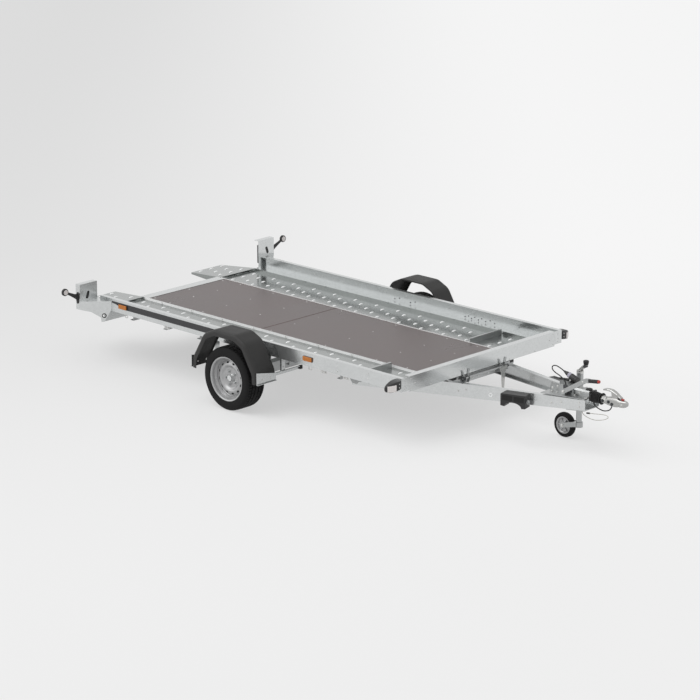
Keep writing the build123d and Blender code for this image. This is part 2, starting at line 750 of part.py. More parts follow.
rim_out = tyre_outer_y - bead_inset + seat_gap
rim_in = tyre_inner_y + bead_inset
barrel = bead_radius - seat_gap
with BuildPart() as rim:
    turned((
        (rim_in, barrel), (rim_out, barrel), (rim_out + rim_sheet, rim_flange_diameter / 2),
        (rim_out + rim_sheet, barrel - rim_sheet), (disc_y + 2, disc_edge_diameter / 2),
        (disc_y + disc_rise, crown_diameter / 2), (disc_y, hub_face_diameter / 2), (disc_y, hub_bore / 2),
        (disc_y - rim_sheet, hub_bore / 2), (disc_y - rim_sheet, hub_face_diameter / 2),
        (disc_y - 2 * rim_sheet, barrel - rim_sheet), (rim_in, barrel - rim_sheet)), 0, 0, wheel_radius, axis=outboard)
both_sides(rim, "rim")

spigot = hub_bore / 2 - seat_gap
bearing = stub_diameter / 2 + seat_gap
cap_y = disc_y + cap_length
with BuildPart() as hub:
    turned((
        (hub_in, bearing), (hub_in, drum_diameter / 2), (hub_flange_y, hub_face_diameter / 2 - rim_sheet),
        (hub_flange_y, spigot), (cap_y, cap_diameter / 2), (cap_y, 0), (stub_end + running_gap, 0),
        (stub_end + running_gap, bearing)), 0, 0, wheel_radius, axis=outboard)
both_sides(hub, "hub")

# ---------------------------------------------------------------- drawbar
plan_slope = (arm_beam_y - arm_front_y) / (arm_front_x - rail_front_x)
pivot_y = arm_beam_y + plan_slope * (rail_front_x - pivot_x)
plan_angle = atan2(plan_slope, 1)
arm_length = (arm_front_x - pivot_x) / cos(plan_angle)
beam_u = (rail_front_x - pivot_x) / cos(plan_angle)
bottom_slope = arm_rise / (arm_length - beam_u)
top_slope = arm_top_rise / (arm_length - beam_u)
arm_plane = Plane(origin=(at(pivot_x), -pivot_y, 0), x_dir=(cos(plan_angle), sin(plan_angle), 0),
                  z_dir=(sin(plan_angle), -cos(plan_angle), 0))


def along(station):
    """Distance along the arm from the pivot to a station."""
    return (station - pivot_x) / cos(plan_angle)


def arm_top(u):
    return arm_beam_top_z + (bottom_slope if u < beam_u else top_slope) * (u - beam_u)


def arm_bottom(u):
    return arm_beam_top_z - arm_height + bottom_slope * (u - beam_u)


tail_u = -arm_tail
boss_in = pivot_y - pivot_boss_inboard
boss_out = pivot_y + pivot_boss_outboard
with BuildPart() as drawbar_arm:
    prism(arm_plane, (
        (tail_u, arm_bottom(tail_u)), (arm_length, arm_bottom(arm_length)), (arm_length, arm_top(arm_length)),
        (beam_u, arm_top(beam_u)), (tail_u, arm_top(tail_u))), -arm_flange)
    past = arm_length + 1
    before = tail_u - 1
    prism(arm_plane.offset(-arm_sheet), (
        (before, arm_bottom(before) + arm_sheet), (past, arm_bottom(past) + arm_sheet),
        (past, arm_top(past) - arm_sheet), (beam_u, arm_top(beam_u) - arm_sheet),
        (before, arm_top(before) - arm_sheet)), -arm_flange, mode=Mode.SUBTRACT)
    rod(pivot_boss_diameter, (pivot_x, -boss_in, pivot_z), (pivot_x, -boss_out, pivot_z))
    rod(pivot_pin_diameter + 2 * seat_gap, (pivot_x, -boss_in + 1, pivot_z), (pivot_x, -boss_out - 1, pivot_z),
        mode=Mode.SUBTRACT)
both_sides(drawbar_arm, "drawbar_arm")

plate_rear = pivot_x - pivot_plate_length / 2
plate_front = pivot_member_x - cross_member_width / 2
with BuildPart() as pivot_bracket:
    outer = -boss_out - running_gap
    inner = -boss_in + running_gap
    for y in (outer - pivot_plate, inner):
        side_prism(y, y + pivot_plate, (
            (plate_rear, track_under_z), (plate_front, track_under_z), (plate_front, pivot_z),
            (pivot_x + pivot_boss_diameter / 2, pivot_z - pivot_plate_drop),
            (pivot_x - pivot_boss_diameter / 2, pivot_z - pivot_plate_drop), (plate_rear, pivot_z)))
    rod(pivot_pin_diameter, (pivot_x, inner + pivot_plate / 2, pivot_z), (pivot_x, outer - pivot_plate / 2, pivot_z))
twin(pivot_bracket, "pivot_brackets")

tie_front_x = rail_front_x - tie_inset
tie_rear_x = tie_front_x - tie_depth
tie_seat_z = arm_top(along(tie_front_x) + arm_flange * plan_slope) + seat_gap
tie_top_z = beam_bottom_z - running_gap
tie_half = arm_beam_y + tie_overhang - buffer_length
with BuildPart() as drawbar_tie:
    box(tie_rear_x, tie_front_x, -tie_half, tie_half, tie_seat_z, tie_top_z)
    box(tie_rear_x + tie_wall, tie_front_x - tie_wall, -tie_half, tie_half, tie_seat_z + tie_wall,
        tie_top_z - tie_wall, mode=Mode.SUBTRACT)
    skirt_y = arm_beam_y - arm_flange - tie_depth * plan_slope - tie_wall
    for x in (tie_rear_x, tie_front_x - tie_wall):
        box(x, x + tie_wall, -skirt_y, skirt_y, tie_seat_z - tie_drop, tie_seat_z)
    for _, side in SIDES:
        box(tie_rear_x, tie_front_x, side * (tie_half - tie_wall), side * (tie_half + buffer_length), tie_seat_z,
            tie_seat_z + buffer_rise)
save(drawbar_tie, "drawbar_tie")

with BuildPart() as tie_buffer:
    box(tie_rear_x, tie_front_x, -tie_half - buffer_length, -tie_half - seat_gap,
        tie_seat_z + buffer_rise + seat_gap, beam_bottom_z - seat_gap)
twin(tie_buffer, "tie_buffers")

shaft_x = rail_front_x + latch_depth / 2
latch_foot_z = tie_seat_z - tie_drop
latch_top_z = latch_foot_z + latch_height
shaft_z = latch_top_z - latch_eye / 2
finger_x = rail_front_x + running_gap
with BuildPart() as latch:
    for y in (-latch_y - latch_width / 2, -latch_y + latch_width / 2 - latch_sheet):
        side_prism(y, y + latch_sheet, (
            (tie_front_x, latch_foot_z), (tie_front_x, latch_top_z - latch_sheet),
            (finger_x, latch_top_z), (shaft_x + latch_eye / 2, latch_top_z),
            (shaft_x + latch_depth / 2, shaft_z), (shaft_x, latch_foot_z)))
    box(tie_front_x, tie_front_x + latch_sheet, -latch_y - latch_width / 2, -latch_y + latch_width / 2,
        latch_foot_z, latch_top_z - latch_sheet)
    for lean in (-1, 1):
        base_y = -latch_y + lean * (latch_width - latch_sheet) / 2
        front_prism(finger_x, finger_x + latch_sheet, (
            (base_y - finger_width / 2, shaft_z), (base_y + finger_width / 2, shaft_z),
            (base_y + finger_width / 2 + lean * finger_spread, shaft_z + finger_length),
            (base_y - finger_width / 2 + lean * finger_spread, shaft_z + finger_length)))
    rod(latch_shaft_diameter + 2 * seat_gap, (shaft_x, -latch_y - latch_width, shaft_z),
        (shaft_x, -latch_y + latch_width, shaft_z), mode=Mode.SUBTRACT)
twin(latch, "latches")

with BuildPart() as latch_shaft:
    half = latch_y + latch_width
    rod(latch_shaft_diameter, (shaft_x, -half, shaft_z), (shaft_x, half, shaft_z))
save(latch_shaft, "latch_shaft")

handle_half = (latch_width - latch_sheet - finger_width) / 2 - seat_gap
handle_x = shaft_x + latch_depth / 2 + seat_gap
handle_top_z = shaft_z + latch_eye / 3
handle_y = latch_y - handle_set_in
with BuildPart() as latch_handle:
    box(shaft_x - latch_eye / 2, handle_x + handle_sheet, latch_y - handle_half, latch_y + handle_half,
        shaft_z - latch_eye / 3, handle_top_z)
    front_prism(handle_x, handle_x + handle_sheet, (
        (handle_y - handle_top / 2, handle_top_z), (handle_y + handle_top / 2, handle_top_z),
        (handle_y + handle_top / 4, handle_top_z - handle_top / 2),
        (handle_y + handle_tip / 2, handle_top_z - handle_length),
        (handle_y - handle_tip / 2, handle_top_z - handle_length),
        (handle_y - handle_top / 4, handle_top_z - handle_top / 2)))
    rod(latch_shaft_diameter + 2 * seat_gap, (shaft_x, latch_y - latch_width, shaft_z),
        (shaft_x, latch_y + latch_width, shaft_z), mode=Mode.SUBTRACT)
save(latch_handle, "latch_handles")

# ---------------------------------------------------------------- overrun coupling
bracket_z = arm_top(arm_length) + seat_gap
base_top_z = bracket_z + bracket_plate
slope_front = arm_front_y + plan_slope * (arm_front_x - bracket_front_x) - arm_sheet
slope_rear = arm_front_y + plan_slope * (arm_front_x - bracket_rear_x) - arm_sheet
under_rear_x = housing_rear_x - bracket_plate
housing_front_x = housing_rear_x + housing_length
under_rear = arm_front_y + plan_slope * (arm_front_x - under_rear_x) - arm_sheet
brake_y = bracket_half_width + brake_offset
with BuildPart() as coupling_bracket:
    plan_prism(bracket_z, base_top_z, (
        (bracket_rear_x, -slope_rear), (bracket_rear_x, slope_rear), (bracket_front_x, slope_front),
        (bracket_front_x, -slope_front)))
    for _, side in SIDES:
        side_prism(side * bracket_half_width, side * (bracket_half_width - bracket_plate), (
            (bracket_rear_x, bracket_z), (bracket_rear_x, bracket_top_z - 2 * housing_bevel),
            (bracket_rear_x + housing_bevel, bracket_top_z), (holder_x + holder_length, bracket_top_z),
            (housing_rear_x, bracket_top_z - 2 * housing_bevel), (housing_rear_x, bracket_z)))
    rod(brake_boss_diameter / 2, (brake_pivot_x, -bracket_half_width + 1, brake_pivot_z),
        (brake_pivot_x, -brake_y - brake_depth, brake_pivot_z))
    with BuildPart(mode=Mode.PRIVATE) as under_plate:
        side_prism(-slope_rear, slope_rear, (
            (under_rear_x, arm_bottom(along(under_rear_x)) - seat_gap),
            (bracket_front_x, arm_bottom(along(bracket_front_x)) - seat_gap),
            (bracket_front_x, arm_bottom(along(bracket_front_x)) - seat_gap - bracket_plate),
            (under_rear_x, arm_bottom(along(under_rear_x)) - seat_gap - bracket_plate)))
        plan_prism(0, coupling_z, (
            (under_rear_x, -under_rear), (under_rear_x, under_rear), (bracket_front_x, slope_front),
            (bracket_front_x, -slope_front)), mode=Mode.INTERSECT)
    add(under_plate.part)
save(coupling_bracket, "coupling_bracket")

housing_half = housing_half_width
housing_top_z = coupling_z + housing_rise
with BuildPart() as housing:
    front_prism(housing_rear_x, housing_front_x, (
        (-housing_half, base_top_z), (-housing_half, housing_top_z - housing_bevel),
        (-housing_half + housing_bevel, housing_top_z), (housing_half - housing_bevel, housing_top_z),
        (housing_half, housing_top_z - housing_bevel), (housing_half, base_top_z)))
save(housing, "overrun_housing")

bellows_rear_x = housing_front_x + seat_gap
bellows_front_x = bellows_rear_x + bellows_length
with BuildPart() as bellows:
    waist = 0.8 * bellows_length
    turned((
        (0, 0), (0, bellows_diameter / 2), (waist, bellows_front_diameter / 2),
        (waist, bellows_diameter / 2), (bellows_length, bellows_diameter / 2), (bellows_length, 0)),
        bellows_rear_x, 0, coupling_z, axis=(1, 0, 0))
save(bellows, "bellows")

head_half = head_width / 2
ball_radius = ball_diameter / 2 + ball_clearance
cup_radius = ball_radius + cup_wall
with BuildPart() as head:
    side_prism(-head_half, head_half, (
        (head_rear_x, coupling_z - head_half), (head_rear_x, coupling_z + head_half),
        (head_rear_x + head_half, head_top_z), (ball_x - ball_radius, head_top_z),
        (ball_x, head_top_z - cup_wall), (nose_x - cup_wall, head_top_z - cup_wall),
        (nose_x, head_top_z - 2 * cup_wall), (nose_x, ball_z + cup_wall), (ball_x - cup_radius, ball_z - 2 * cup_skirt),
        (ball_x - 2.5 * cup_radius, coupling_z - head_half - cup_wall)))
    plan_prism(0, 2 * head_top_z, (
        (head_rear_x, -head_half), (ball_x, -head_half), (nose_x, -nose_width / 2), (nose_x, nose_width / 2),
        (ball_x, head_half), (head_rear_x, head_half)), mode=Mode.INTERSECT)
    rod(sleeve_diameter, (bellows_front_x + seat_gap, 0, coupling_z), (head_rear_x + cup_wall, 0, coupling_z))
    turned(((-cup_skirt, 0), (-cup_skirt, cup_radius), (ball_radius, cup_radius), (ball_radius, 0)),
           ball_x, 0, ball_z, axis=(0, 0, 1))
    turned((
        (-ball_diameter, 0), (-ball_diameter, ball_radius), (0, ball_radius),
        (ball_radius * sin(radians(45)), ball_radius * cos(radians(45))), (ball_radius, 0)),
        ball_x, 0, ball_z, axis=(0, 0, 1), mode=Mode.SUBTRACT)
save(head, "coupling_head")

with BuildPart() as coupling_handle:
    lug_z = head_top_z + seat_gap
    grip_top_z = head_top_z + handle_width
    grip_rear_x = bellows_front_x + handle_lead
    grip_crest_x = grip_rear_x + sleeve_diameter
    side_prism(-handle_width / 2, handle_width / 2, (
        (grip_rear_x, grip_top_z - 6), (grip_crest_x, grip_top_z + 7),
        (ball_x - 0.8 * ball_diameter, grip_top_z - handle_thickness), (ball_x - 4, lug_z + 4),
        (ball_x - ball_radius, lug_z), (ball_x - 2 * ball_radius, lug_z), (ball_x - 1.4 * ball_diameter, grip_top_z - 18),
        (grip_crest_x, grip_top_z - 6), (grip_rear_x + 6, grip_top_z - 18)))
save(coupling_handle, "coupling_handle")

# ---------------------------------------------------------------- jockey wheel
clamp_u = along(jockey_x)
clamp_z = (arm_top(clamp_u) + arm_bottom(clamp_u)) / 2
jockey_bore = jockey_inner_diameter + 2 * seat_gap
with BuildPart() as clamp_right:
    rod(jockey_outer_diameter, (jockey_x, -jockey_y, jockey_sleeve_bottom_z), (jockey_x, -jockey_y, jockey_sleeve_top_z))
    prism(arm_plane.offset(seat_gap), (
        (clamp_u - jockey_clamp_length / 2, clamp_z), (clamp_u - jockey_clamp_length / 2, clamp_z + jockey_clamp_height),
        (clamp_u + jockey_clamp_length / 2, clamp_z + jockey_clamp_height), (clamp_u + jockey_clamp_length / 2, clamp_z)),
        jockey_outer_diameter / 4)
    rod(jockey_bore, (jockey_x, -jockey_y, jockey_sleeve_bottom_z - 1),
        (jockey_x, -jockey_y, jockey_sleeve_top_z + 1), mode=Mode.SUBTRACT)
with BuildPart() as jockey_clamp:
    add(mirror(clamp_right.part, about=Plane.XZ))
save(jockey_clamp, "jockey_clamp")

with BuildPart() as jockey_leg:
    rod(jockey_inner_diameter, (jockey_x, jockey_y, jockey_leg_bottom_z), (jockey_x, jockey_y, jockey_leg_top_z))
save(jockey_leg, "jockey_leg")

crank_half = crank_width / 2
knob_x = jockey_x + crank_reach
knob_z = jockey_sleeve_top_z + crank_cap + crank_rise
with BuildPart() as jockey_crank:
    rod(jockey_outer_diameter, (jockey_x, jockey_y, jockey_sleeve_top_z),
        (jockey_x, jockey_y, jockey_sleeve_top_z + crank_cap))
    side_prism(jockey_y - crank_half, jockey_y + crank_half, (
        (jockey_x - crank_sheet, jockey_sleeve_top_z + crank_cap - 1), (knob_x - crank_sheet, knob_z),
        (knob_x + crank_sheet, knob_z), (jockey_x + crank_sheet, jockey_sleeve_top_z + crank_cap - 1)))
save(jockey_crank, "jockey_crank")

with BuildPart() as crank_knob:
    turned(((0, 0), (0, crank_knob_diameter / 2 - 3), (crank_knob_height, crank_knob_diameter / 2),
            (crank_knob_height, 0)), knob_x, jockey_y, knob_z, axis=(0, 0, 1))
save(crank_knob, "crank_knob")

jockey_axle_x = jockey_x - jockey_trail
jockey_axle_z = jockey_wheel_diameter / 2
fork_inner = jockey_wheel_width / 2 + fork_gap
fork_top_z = jockey_leg_bottom_z + fork_bush_height
fork_bush = jockey_inner_diameter / 2 + fork_bush_wall
with BuildPart() as jockey_fork:
    rod(2 * fork_bush, (jockey_x, jockey_y, jockey_leg_bottom_z), (jockey_x, jockey_y, fork_top_z))
    for _, side in SIDES:
        face = jockey_y + side * fork_inner
        side_prism(face, face + side * fork_arm_sheet, (
            (jockey_axle_x - jockey_axle_diameter, jockey_axle_z - fork_arm_height / 2),
            (jockey_axle_x - jockey_axle_diameter, jockey_axle_z + fork_arm_height / 2),
            (jockey_x - fork_bush, fork_top_z), (jockey_x, fork_top_z), (jockey_x, fork_top_z - fork_arm_height),
            (jockey_axle_x, jockey_axle_z - fork_arm_height / 2)))
    box(jockey_x - fork_bush, jockey_x, jockey_y - fork_inner, jockey_y + fork_inner,
        fork_top_z - fork_arm_sheet, fork_top_z)
    rod(jockey_axle_diameter - 2 * seat_gap, (jockey_axle_x, jockey_y - fork_inner, jockey_axle_z),
        (jockey_axle_x, jockey_y + fork_inner, jockey_axle_z))
    rod(jockey_bore + 0.2, (jockey_x, jockey_y, jockey_leg_bottom_z - 1), (jockey_x, jockey_y, fork_top_z + 1),
        mode=Mode.SUBTRACT)
save(jockey_fork, "jockey_fork")

jockey_rim_radius = jockey_rim_diameter / 2
jockey_half = jockey_wheel_width / 2
with BuildPart() as jockey_tyre:
    chamfer_width = jockey_half / 3
    turned((
        (-jockey_half, jockey_rim_radius + seat_gap), (-jockey_half, jockey_axle_z - chamfer_width),
        (-jockey_half + chamfer_width, jockey_axle_z), (jockey_half - chamfer_width, jockey_axle_z),
        (jockey_half, jockey_axle_z - chamfer_width), (jockey_half, jockey_rim_radius + seat_gap)),
        jockey_axle_x, jockey_y, jockey_axle_z)
save(jockey_tyre, "jockey_tyre")
with BuildPart() as jockey_rim:
    web = jockey_half / 3
    boss_radius = jockey_axle_diameter
    turned((
        (-jockey_half + 2, jockey_rim_radius), (-web, boss_radius * 1.8), (-jockey_half, boss_radius),
        (-jockey_half, jockey_axle_diameter / 2), (jockey_half, jockey_axle_diameter / 2),
        (jockey_half, boss_radius), (web, boss_radius * 1.8), (jockey_half - 2, jockey_rim_radius)),
        jockey_axle_x, jockey_y, jockey_axle_z)
save(jockey_rim, "jockey_rim")

# ---------------------------------------------------------------- handbrake
lever_angle = radians(brake_angle)
hand_angle = radians(grip_angle)
elbow_x = brake_pivot_x + brake_length * cos(lever_angle)
elbow_z = brake_pivot_z + brake_length * sin(lever_angle)
grip_x = elbow_x + brake_width * cos(hand_angle)
grip_z = elbow_z + brake_width * sin(hand_angle)
rise_x = brake_width / 2 * sin(lever_angle)
rise_z = brake_width / 2 * cos(lever_angle)
hand_x = grip_diameter / 2 * sin(hand_angle)
hand_z = grip_diameter / 2 * cos(hand_angle)
lever_outer_y = brake_y + brake_depth
with BuildPart() as brake_lever:
    side_prism(-brake_y, -lever_outer_y, (
        (brake_pivot_x - rise_x, brake_pivot_z + rise_z), (elbow_x - rise_x, elbow_z + rise_z),
        (grip_x - hand_x, grip_z + hand_z), (grip_x + hand_x, grip_z - hand_z),
        (elbow_x + rise_x, elbow_z - rise_z), (brake_pivot_x + rise_x, brake_pivot_z - rise_z)))
    with BuildSketch(Plane.XZ.offset(brake_y)) as boss:
        with Locations((at(brake_pivot_x), brake_pivot_z)):
            Circle(brake_boss_diameter / 2)
    extrude(boss.sketch, amount=brake_depth)
    side_prism(-brake_y - brake_sheet, -lever_outer_y + brake_sheet, (
        (brake_pivot_x - 3 * rise_x, brake_pivot_z + rise_z - brake_sheet),
        (brake_pivot_x - rise_x, brake_pivot_z + rise_z - brake_sheet),
        (elbow_x - rise_x, elbow_z + rise_z - brake_sheet), (elbow_x + rise_x, elbow_z - 2 * rise_z),
        (brake_pivot_x + rise_x, brake_pivot_z - 2 * rise_z), (brake_pivot_x - 3 * rise_x, brake_pivot_z - 2 * rise_z)),
        mode=Mode.SUBTRACT)
    rod(brake_boss_diameter / 2 + 2 * seat_gap, (brake_pivot_x, -brake_y + 1, brake_pivot_z),
        (brake_pivot_x, -lever_outer_y - 1, brake_pivot_z), mode=Mode.SUBTRACT)
save(brake_lever, "handbrake_lever")

with BuildPart() as handbrake_grip:
    grip_y = -(brake_y + lever_outer_y) / 2
    rod(grip_diameter, (grip_x, grip_y, grip_z),
        (grip_x + grip_length * cos(hand_angle), grip_y, grip_z + grip_length * sin(hand_angle)))
save(handbrake_grip, "handbrake_grip")

# ---------------------------------------------------------------- wheel chocks
chock_u = along(chock_rear_x)
chock_top = arm_top(chock_u) - chock_drop
with BuildPart() as wheel_chock:
    chock_end = chock_u + chock_length
    chock_foot = chock_top - chock_height
    prism(arm_plane.offset(seat_gap), (
        (chock_u, chock_top), (chock_end, chock_top + top_slope * chock_length), (chock_end, chock_foot),
        (chock_u + 0.72 * chock_length, chock_foot - chock_wall), (chock_u + 0.5 * chock_length, chock_foot - chock_peak),
        (chock_u + 0.28 * chock_length, chock_foot - chock_wall), (chock_u, chock_foot)), chock_depth)
    prism(arm_plane.offset(seat_gap + chock_wall), (
        (chock_u + chock_wall, chock_top + 2 * chock_wall), (chock_end - chock_wall, chock_top + 2 * chock_wall),
        (chock_end - chock_wall, chock_top - chock_height / 2), (chock_u + chock_wall, chock_top - chock_height / 2)),
        chock_depth - 2 * chock_wall, mode=Mode.SUBTRACT)
twin(wheel_chock, "wheel_chocks")

# ---------------------------------------------------------------- plug, holder and cables
plug_end_x = plug_x + hypot(plug_length, plug_fall)
plug_tip = Vector(plug_length, 0, -plug_fall).normalized()
with BuildPart() as plug:
    turned((
        (0, 0), (0, plug_nose_diameter / 2), (0.4 * plug_length, plug_diameter / 2 - 3), (0.55 * plug_length, plug_diameter / 2),
        (plug_length, plug_diameter / 2), (plug_length, 0)),
        plug_x, plug_y, plug_z, axis=(plug_tip.X, 0, plug_tip.Z))
save(plug, "plug")


def plug_under(station):
    """Height of the plug's underside at a station."""
    slope = plug_fall / plug_length
    return plug_z - slope * (station - plug_x) - plug_diameter / 2 * hypot(1, slope) - seat_gap


with BuildPart() as plug_holder:
    holder_end = holder_x + holder_length
    side_prism(plug_y - plug_diameter / 4, plug_y + plug_diameter / 4, (
        (holder_x, bracket_top_z), (holder_end, bracket_top_z), (holder_end, plug_under(holder_end)),
        (holder_x, plug_under(holder_x))))
save(plug_holder, "plug_holder")


def cord(route, diameter, name):
    """A cord tube along a route of (station, y, z) points: straight runs joined by tangent arcs."""
    points = [Vector(at(x), y, z) for x, y, z in route]
    radii = []
    for before_point, corner, after_point in zip(points, points[1:], points[2:]):
        arriving = corner - before_point
        leaving = after_point - corner
        half_turn = radians(arriving.get_angle(leaving)) / 2
        radii.append(0.45 * min(arriving.length, leaving.length) / tan(half_turn))
    print(name, "bend radii", [round(value) for value in radii])
    with BuildPart() as tube:
        with BuildLine():
            path = FilletPolyline(*points, radius=radii)
        with BuildSketch(Plane(origin=path @ 0, z_dir=path % 0)):
            Circle(diameter / 2)
        sweep(path=path)
    print(name, "volume over straight tube", round(tube.part.volume / (path.length * 3.14159 * diameter ** 2 / 4), 4))
    save(tube, name)


cord((
    (2488.7, 30, 588.1), (2440, 33, 608), (2392, 36, 616), (2358, 38, 600), (2362, 38, 574), (2394, 36, 556),
    (2440, 32, 545), (2488, 28, 524), (2514, 24, 492), (2522, 22, 452.5)), cable_diameter, "plug_cable")
cord((
    (2808, 0, 413.4), (2814, 0, 398), (2834, 0, 383), (2868, 0, 372), (2908, 0, 367), (2948, 0, 378),
    (2976, 0, 397), (2984, 0, 422)), cable_diameter, "coupling_cable")
cord((
    (2726, -38, 350.5), (2729, -39, 324), (2752, -40, 306), (2800, -41, 294), (2852, -42, 292), (2904, -42, 301),
    (2950, -41, 317), (2982, -40, 334), (2984, -40, 348), (2960, -40, 355), (2910, -40, 350), (2850, -41, 341),
    (2788, -42, 333)), rope_diameter, "breakaway_cable")
print("axle at", axle_x)
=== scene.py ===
"""Looks of the tilting car trailer: finishes, tyres, lamps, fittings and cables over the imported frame.

Metres. Places come from the frame's boxes; +X points to the coupling, +Y to the left, +Z up.
"""
import bpy
import bmesh
import math
from mathutils import Matrix, Vector


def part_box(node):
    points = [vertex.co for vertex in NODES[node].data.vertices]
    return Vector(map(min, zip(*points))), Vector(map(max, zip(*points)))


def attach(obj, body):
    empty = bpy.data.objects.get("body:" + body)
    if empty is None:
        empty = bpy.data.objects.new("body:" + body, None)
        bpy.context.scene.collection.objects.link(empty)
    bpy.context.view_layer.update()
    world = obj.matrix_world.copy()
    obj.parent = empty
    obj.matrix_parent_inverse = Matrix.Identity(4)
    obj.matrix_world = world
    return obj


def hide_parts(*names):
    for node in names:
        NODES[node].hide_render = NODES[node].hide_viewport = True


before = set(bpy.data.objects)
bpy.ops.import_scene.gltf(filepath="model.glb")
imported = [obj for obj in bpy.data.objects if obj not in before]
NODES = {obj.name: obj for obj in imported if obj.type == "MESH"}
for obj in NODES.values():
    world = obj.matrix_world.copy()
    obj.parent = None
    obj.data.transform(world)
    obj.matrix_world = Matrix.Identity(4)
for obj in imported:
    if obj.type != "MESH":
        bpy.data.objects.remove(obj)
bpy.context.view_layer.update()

MM = 0.001
AXLE_X = -0.485
SIDES = (("right", -1), ("left", 1))


def at(station):
    """x of a station given in millimetres forward of the axle."""
    return AXLE_X + station * MM


# ---------------------------------------------------------------- materials
def material(name, color, roughness=0.5, metallic=0.0, coat=0.0, spread=0.06, scale=30.0, rough_spread=0.08,
             bump=0.0, bump_scale=200.0, stretch=(1, 1, 1), specular=0.5):
    """A procedural finish: mottled colour and roughness with an optional fine bump."""
    mat = bpy.data.materials.new(name)
    mat.use_nodes = True
    nodes, links = mat.node_tree.nodes, mat.node_tree.links
    shader = nodes["Principled BSDF"]
    shader.inputs["Metallic"].default_value = metallic
    shader.inputs["Coat Weight"].default_value = coat
    shader.inputs["Coat Roughness"].default_value = 0.12
    shader.inputs["Specular IOR Level"].default_value = specular
    coords = nodes.new("ShaderNodeTexCoord")
    mapping = nodes.new("ShaderNodeMapping")
    mapping.inputs["Scale"].default_value = stretch
    links.new(coords.outputs["Object"], mapping.inputs["Vector"])
    blotch = nodes.new("ShaderNodeTexNoise")
    blotch.inputs["Scale"].default_value = scale
    blotch.inputs["Detail"].default_value = 6.0
    blotch.inputs["Roughness"].default_value = 0.6
    links.new(mapping.outputs["Vector"], blotch.inputs["Vector"])
    tint = nodes.new("ShaderNodeValToRGB")
    tint.color_ramp.elements[0].position = 0.3
    tint.color_ramp.elements[1].position = 0.7
    tint.color_ramp.elements[0].color = [c * (1 - spread) for c in color] + [1]
    tint.color_ramp.elements[1].color = [min(1, c * (1 + spread)) for c in color] + [1]
    links.new(blotch.outputs["Fac"], tint.inputs["Fac"])
    links.new(tint.outputs["Color"], shader.inputs["Base Color"])
    gloss = nodes.new("ShaderNodeMapRange")
    gloss.inputs["To Min"].default_value = max(0.02, roughness - rough_spread)
    gloss.inputs["To Max"].default_value = min(1.0, roughness + rough_spread)
    links.new(blotch.outputs["Fac"], gloss.inputs["Value"])
    links.new(gloss.outputs["Result"], shader.inputs["Roughness"])
    if bump:
        grain = nodes.new("ShaderNodeTexNoise")
        grain.inputs["Scale"].default_value = bump_scale
        grain.inputs["Detail"].default_value = 3.0
        links.new(mapping.outputs["Vector"], grain.inputs["Vector"])
        relief = nodes.new("ShaderNodeBump")
        relief.inputs["Strength"].default_value = bump
        relief.inputs["Distance"].default_value = 0.001
        links.new(grain.outputs["Fac"], relief.inputs["Height"])
        links.new(relief.outputs["Normal"], shader.inputs["Normal"])
    return mat


def galvanised(name, color, roughness, spangle=0.05, metallic=0.75):
    """Zinc coating: cells of slightly different grey over soft blotches."""
    mat = material(name, color, roughness, metallic, spread=0.04, scale=3.0, rough_spread=0.06)
    nodes, links = mat.node_tree.nodes, mat.node_tree.links
    mapping = next(n for n in nodes if n.type == "MAPPING")
    tint = next(n for n in nodes if n.type == "VALTORGB")
    cells = nodes.new("ShaderNodeTexVoronoi")
    cells.inputs["Scale"].default_value = 90.0
    links.new(mapping.outputs["Vector"], cells.inputs["Vector"])
    shade = nodes.new("ShaderNodeMapRange")
    shade.inputs["To Min"].default_value = 1 - spangle
    shade.inputs["To Max"].default_value = 1 + spangle
    links.new(cells.outputs["Color"], shade.inputs["Value"])
    blend = nodes.new("ShaderNodeVectorMath")
    blend.operation = "MULTIPLY"
    links.new(tint.outputs["Color"], blend.inputs[0])
    links.new(shade.outputs["Result"], blend.inputs[1])
    links.new(blend.outputs["Vector"], nodes["Principled BSDF"].inputs["Base Color"])
    return mat


ZINC = galvanised("zinc_sheet", (0.64, 0.655, 0.655), 0.22, metallic=0.9)
ZINC_TRACK = galvanised("zinc_track", (0.33, 0.345, 0.34), 0.17, metallic=0.92)
# Painted shade: a darker copy of the zinc for the rails' inner faces.
RAIL_INNER_PAINTED_SHADE = galvanised("zinc_inner_face_painted_shade", (0.47, 0.485, 0.485), 0.2, metallic=0.9)
# Painted highlight: a white matt copy of the zinc for the tracks' upright inner folds.
FOLD_PAINTED_HIGHLIGHT = galvanised("zinc_fold_painted_highlight", (0.95, 0.95, 0.95), 0.35, spangle=0.02, metallic=0.0)
# Painted glint: near-white zinc for the bosses on tracks and ramps, also used on the arm eyelets.
WHITE_PAINTED_GLINT = galvanised("zinc_painted_glint", (0.93, 0.94, 0.94), 0.3, spangle=0.02, metallic=0.1)
ZINC_BAR = galvanised("zinc_bar", (0.42, 0.43, 0.43), 0.3, metallic=0.85)
ZINC_BOLT = galvanised("zinc_bolt", (0.62, 0.62, 0.61), 0.3, spangle=0.08, metallic=0.9)
BRIGHT = galvanised("bright_zinc_plate", (0.44, 0.44, 0.43), 0.24, spangle=0.03, metallic=0.92)
PLY = material("film_plywood", (0.105, 0.083, 0.081), 0.3, spread=0.14, scale=2.0, bump=0.2, bump_scale=900.0,
               rough_spread=0.1, stretch=(1.0, 0.35, 1.0), specular=0.28)
PLY_EDGE = material("plywood_edge", (0.075, 0.045, 0.04), 0.7, spread=0.2, scale=60.0, stretch=(0.2, 0.2, 12))
GUARD = material("guard_plastic", (0.020, 0.0197, 0.0194), 0.55, spread=0.1, scale=12.0, bump=0.35,
                 bump_scale=1400.0, specular=0.38)
BLACK = material("black_plastic", (0.012, 0.012, 0.0125), 0.4, spread=0.2, scale=20.0, bump=0.2,
                 bump_scale=1200.0)
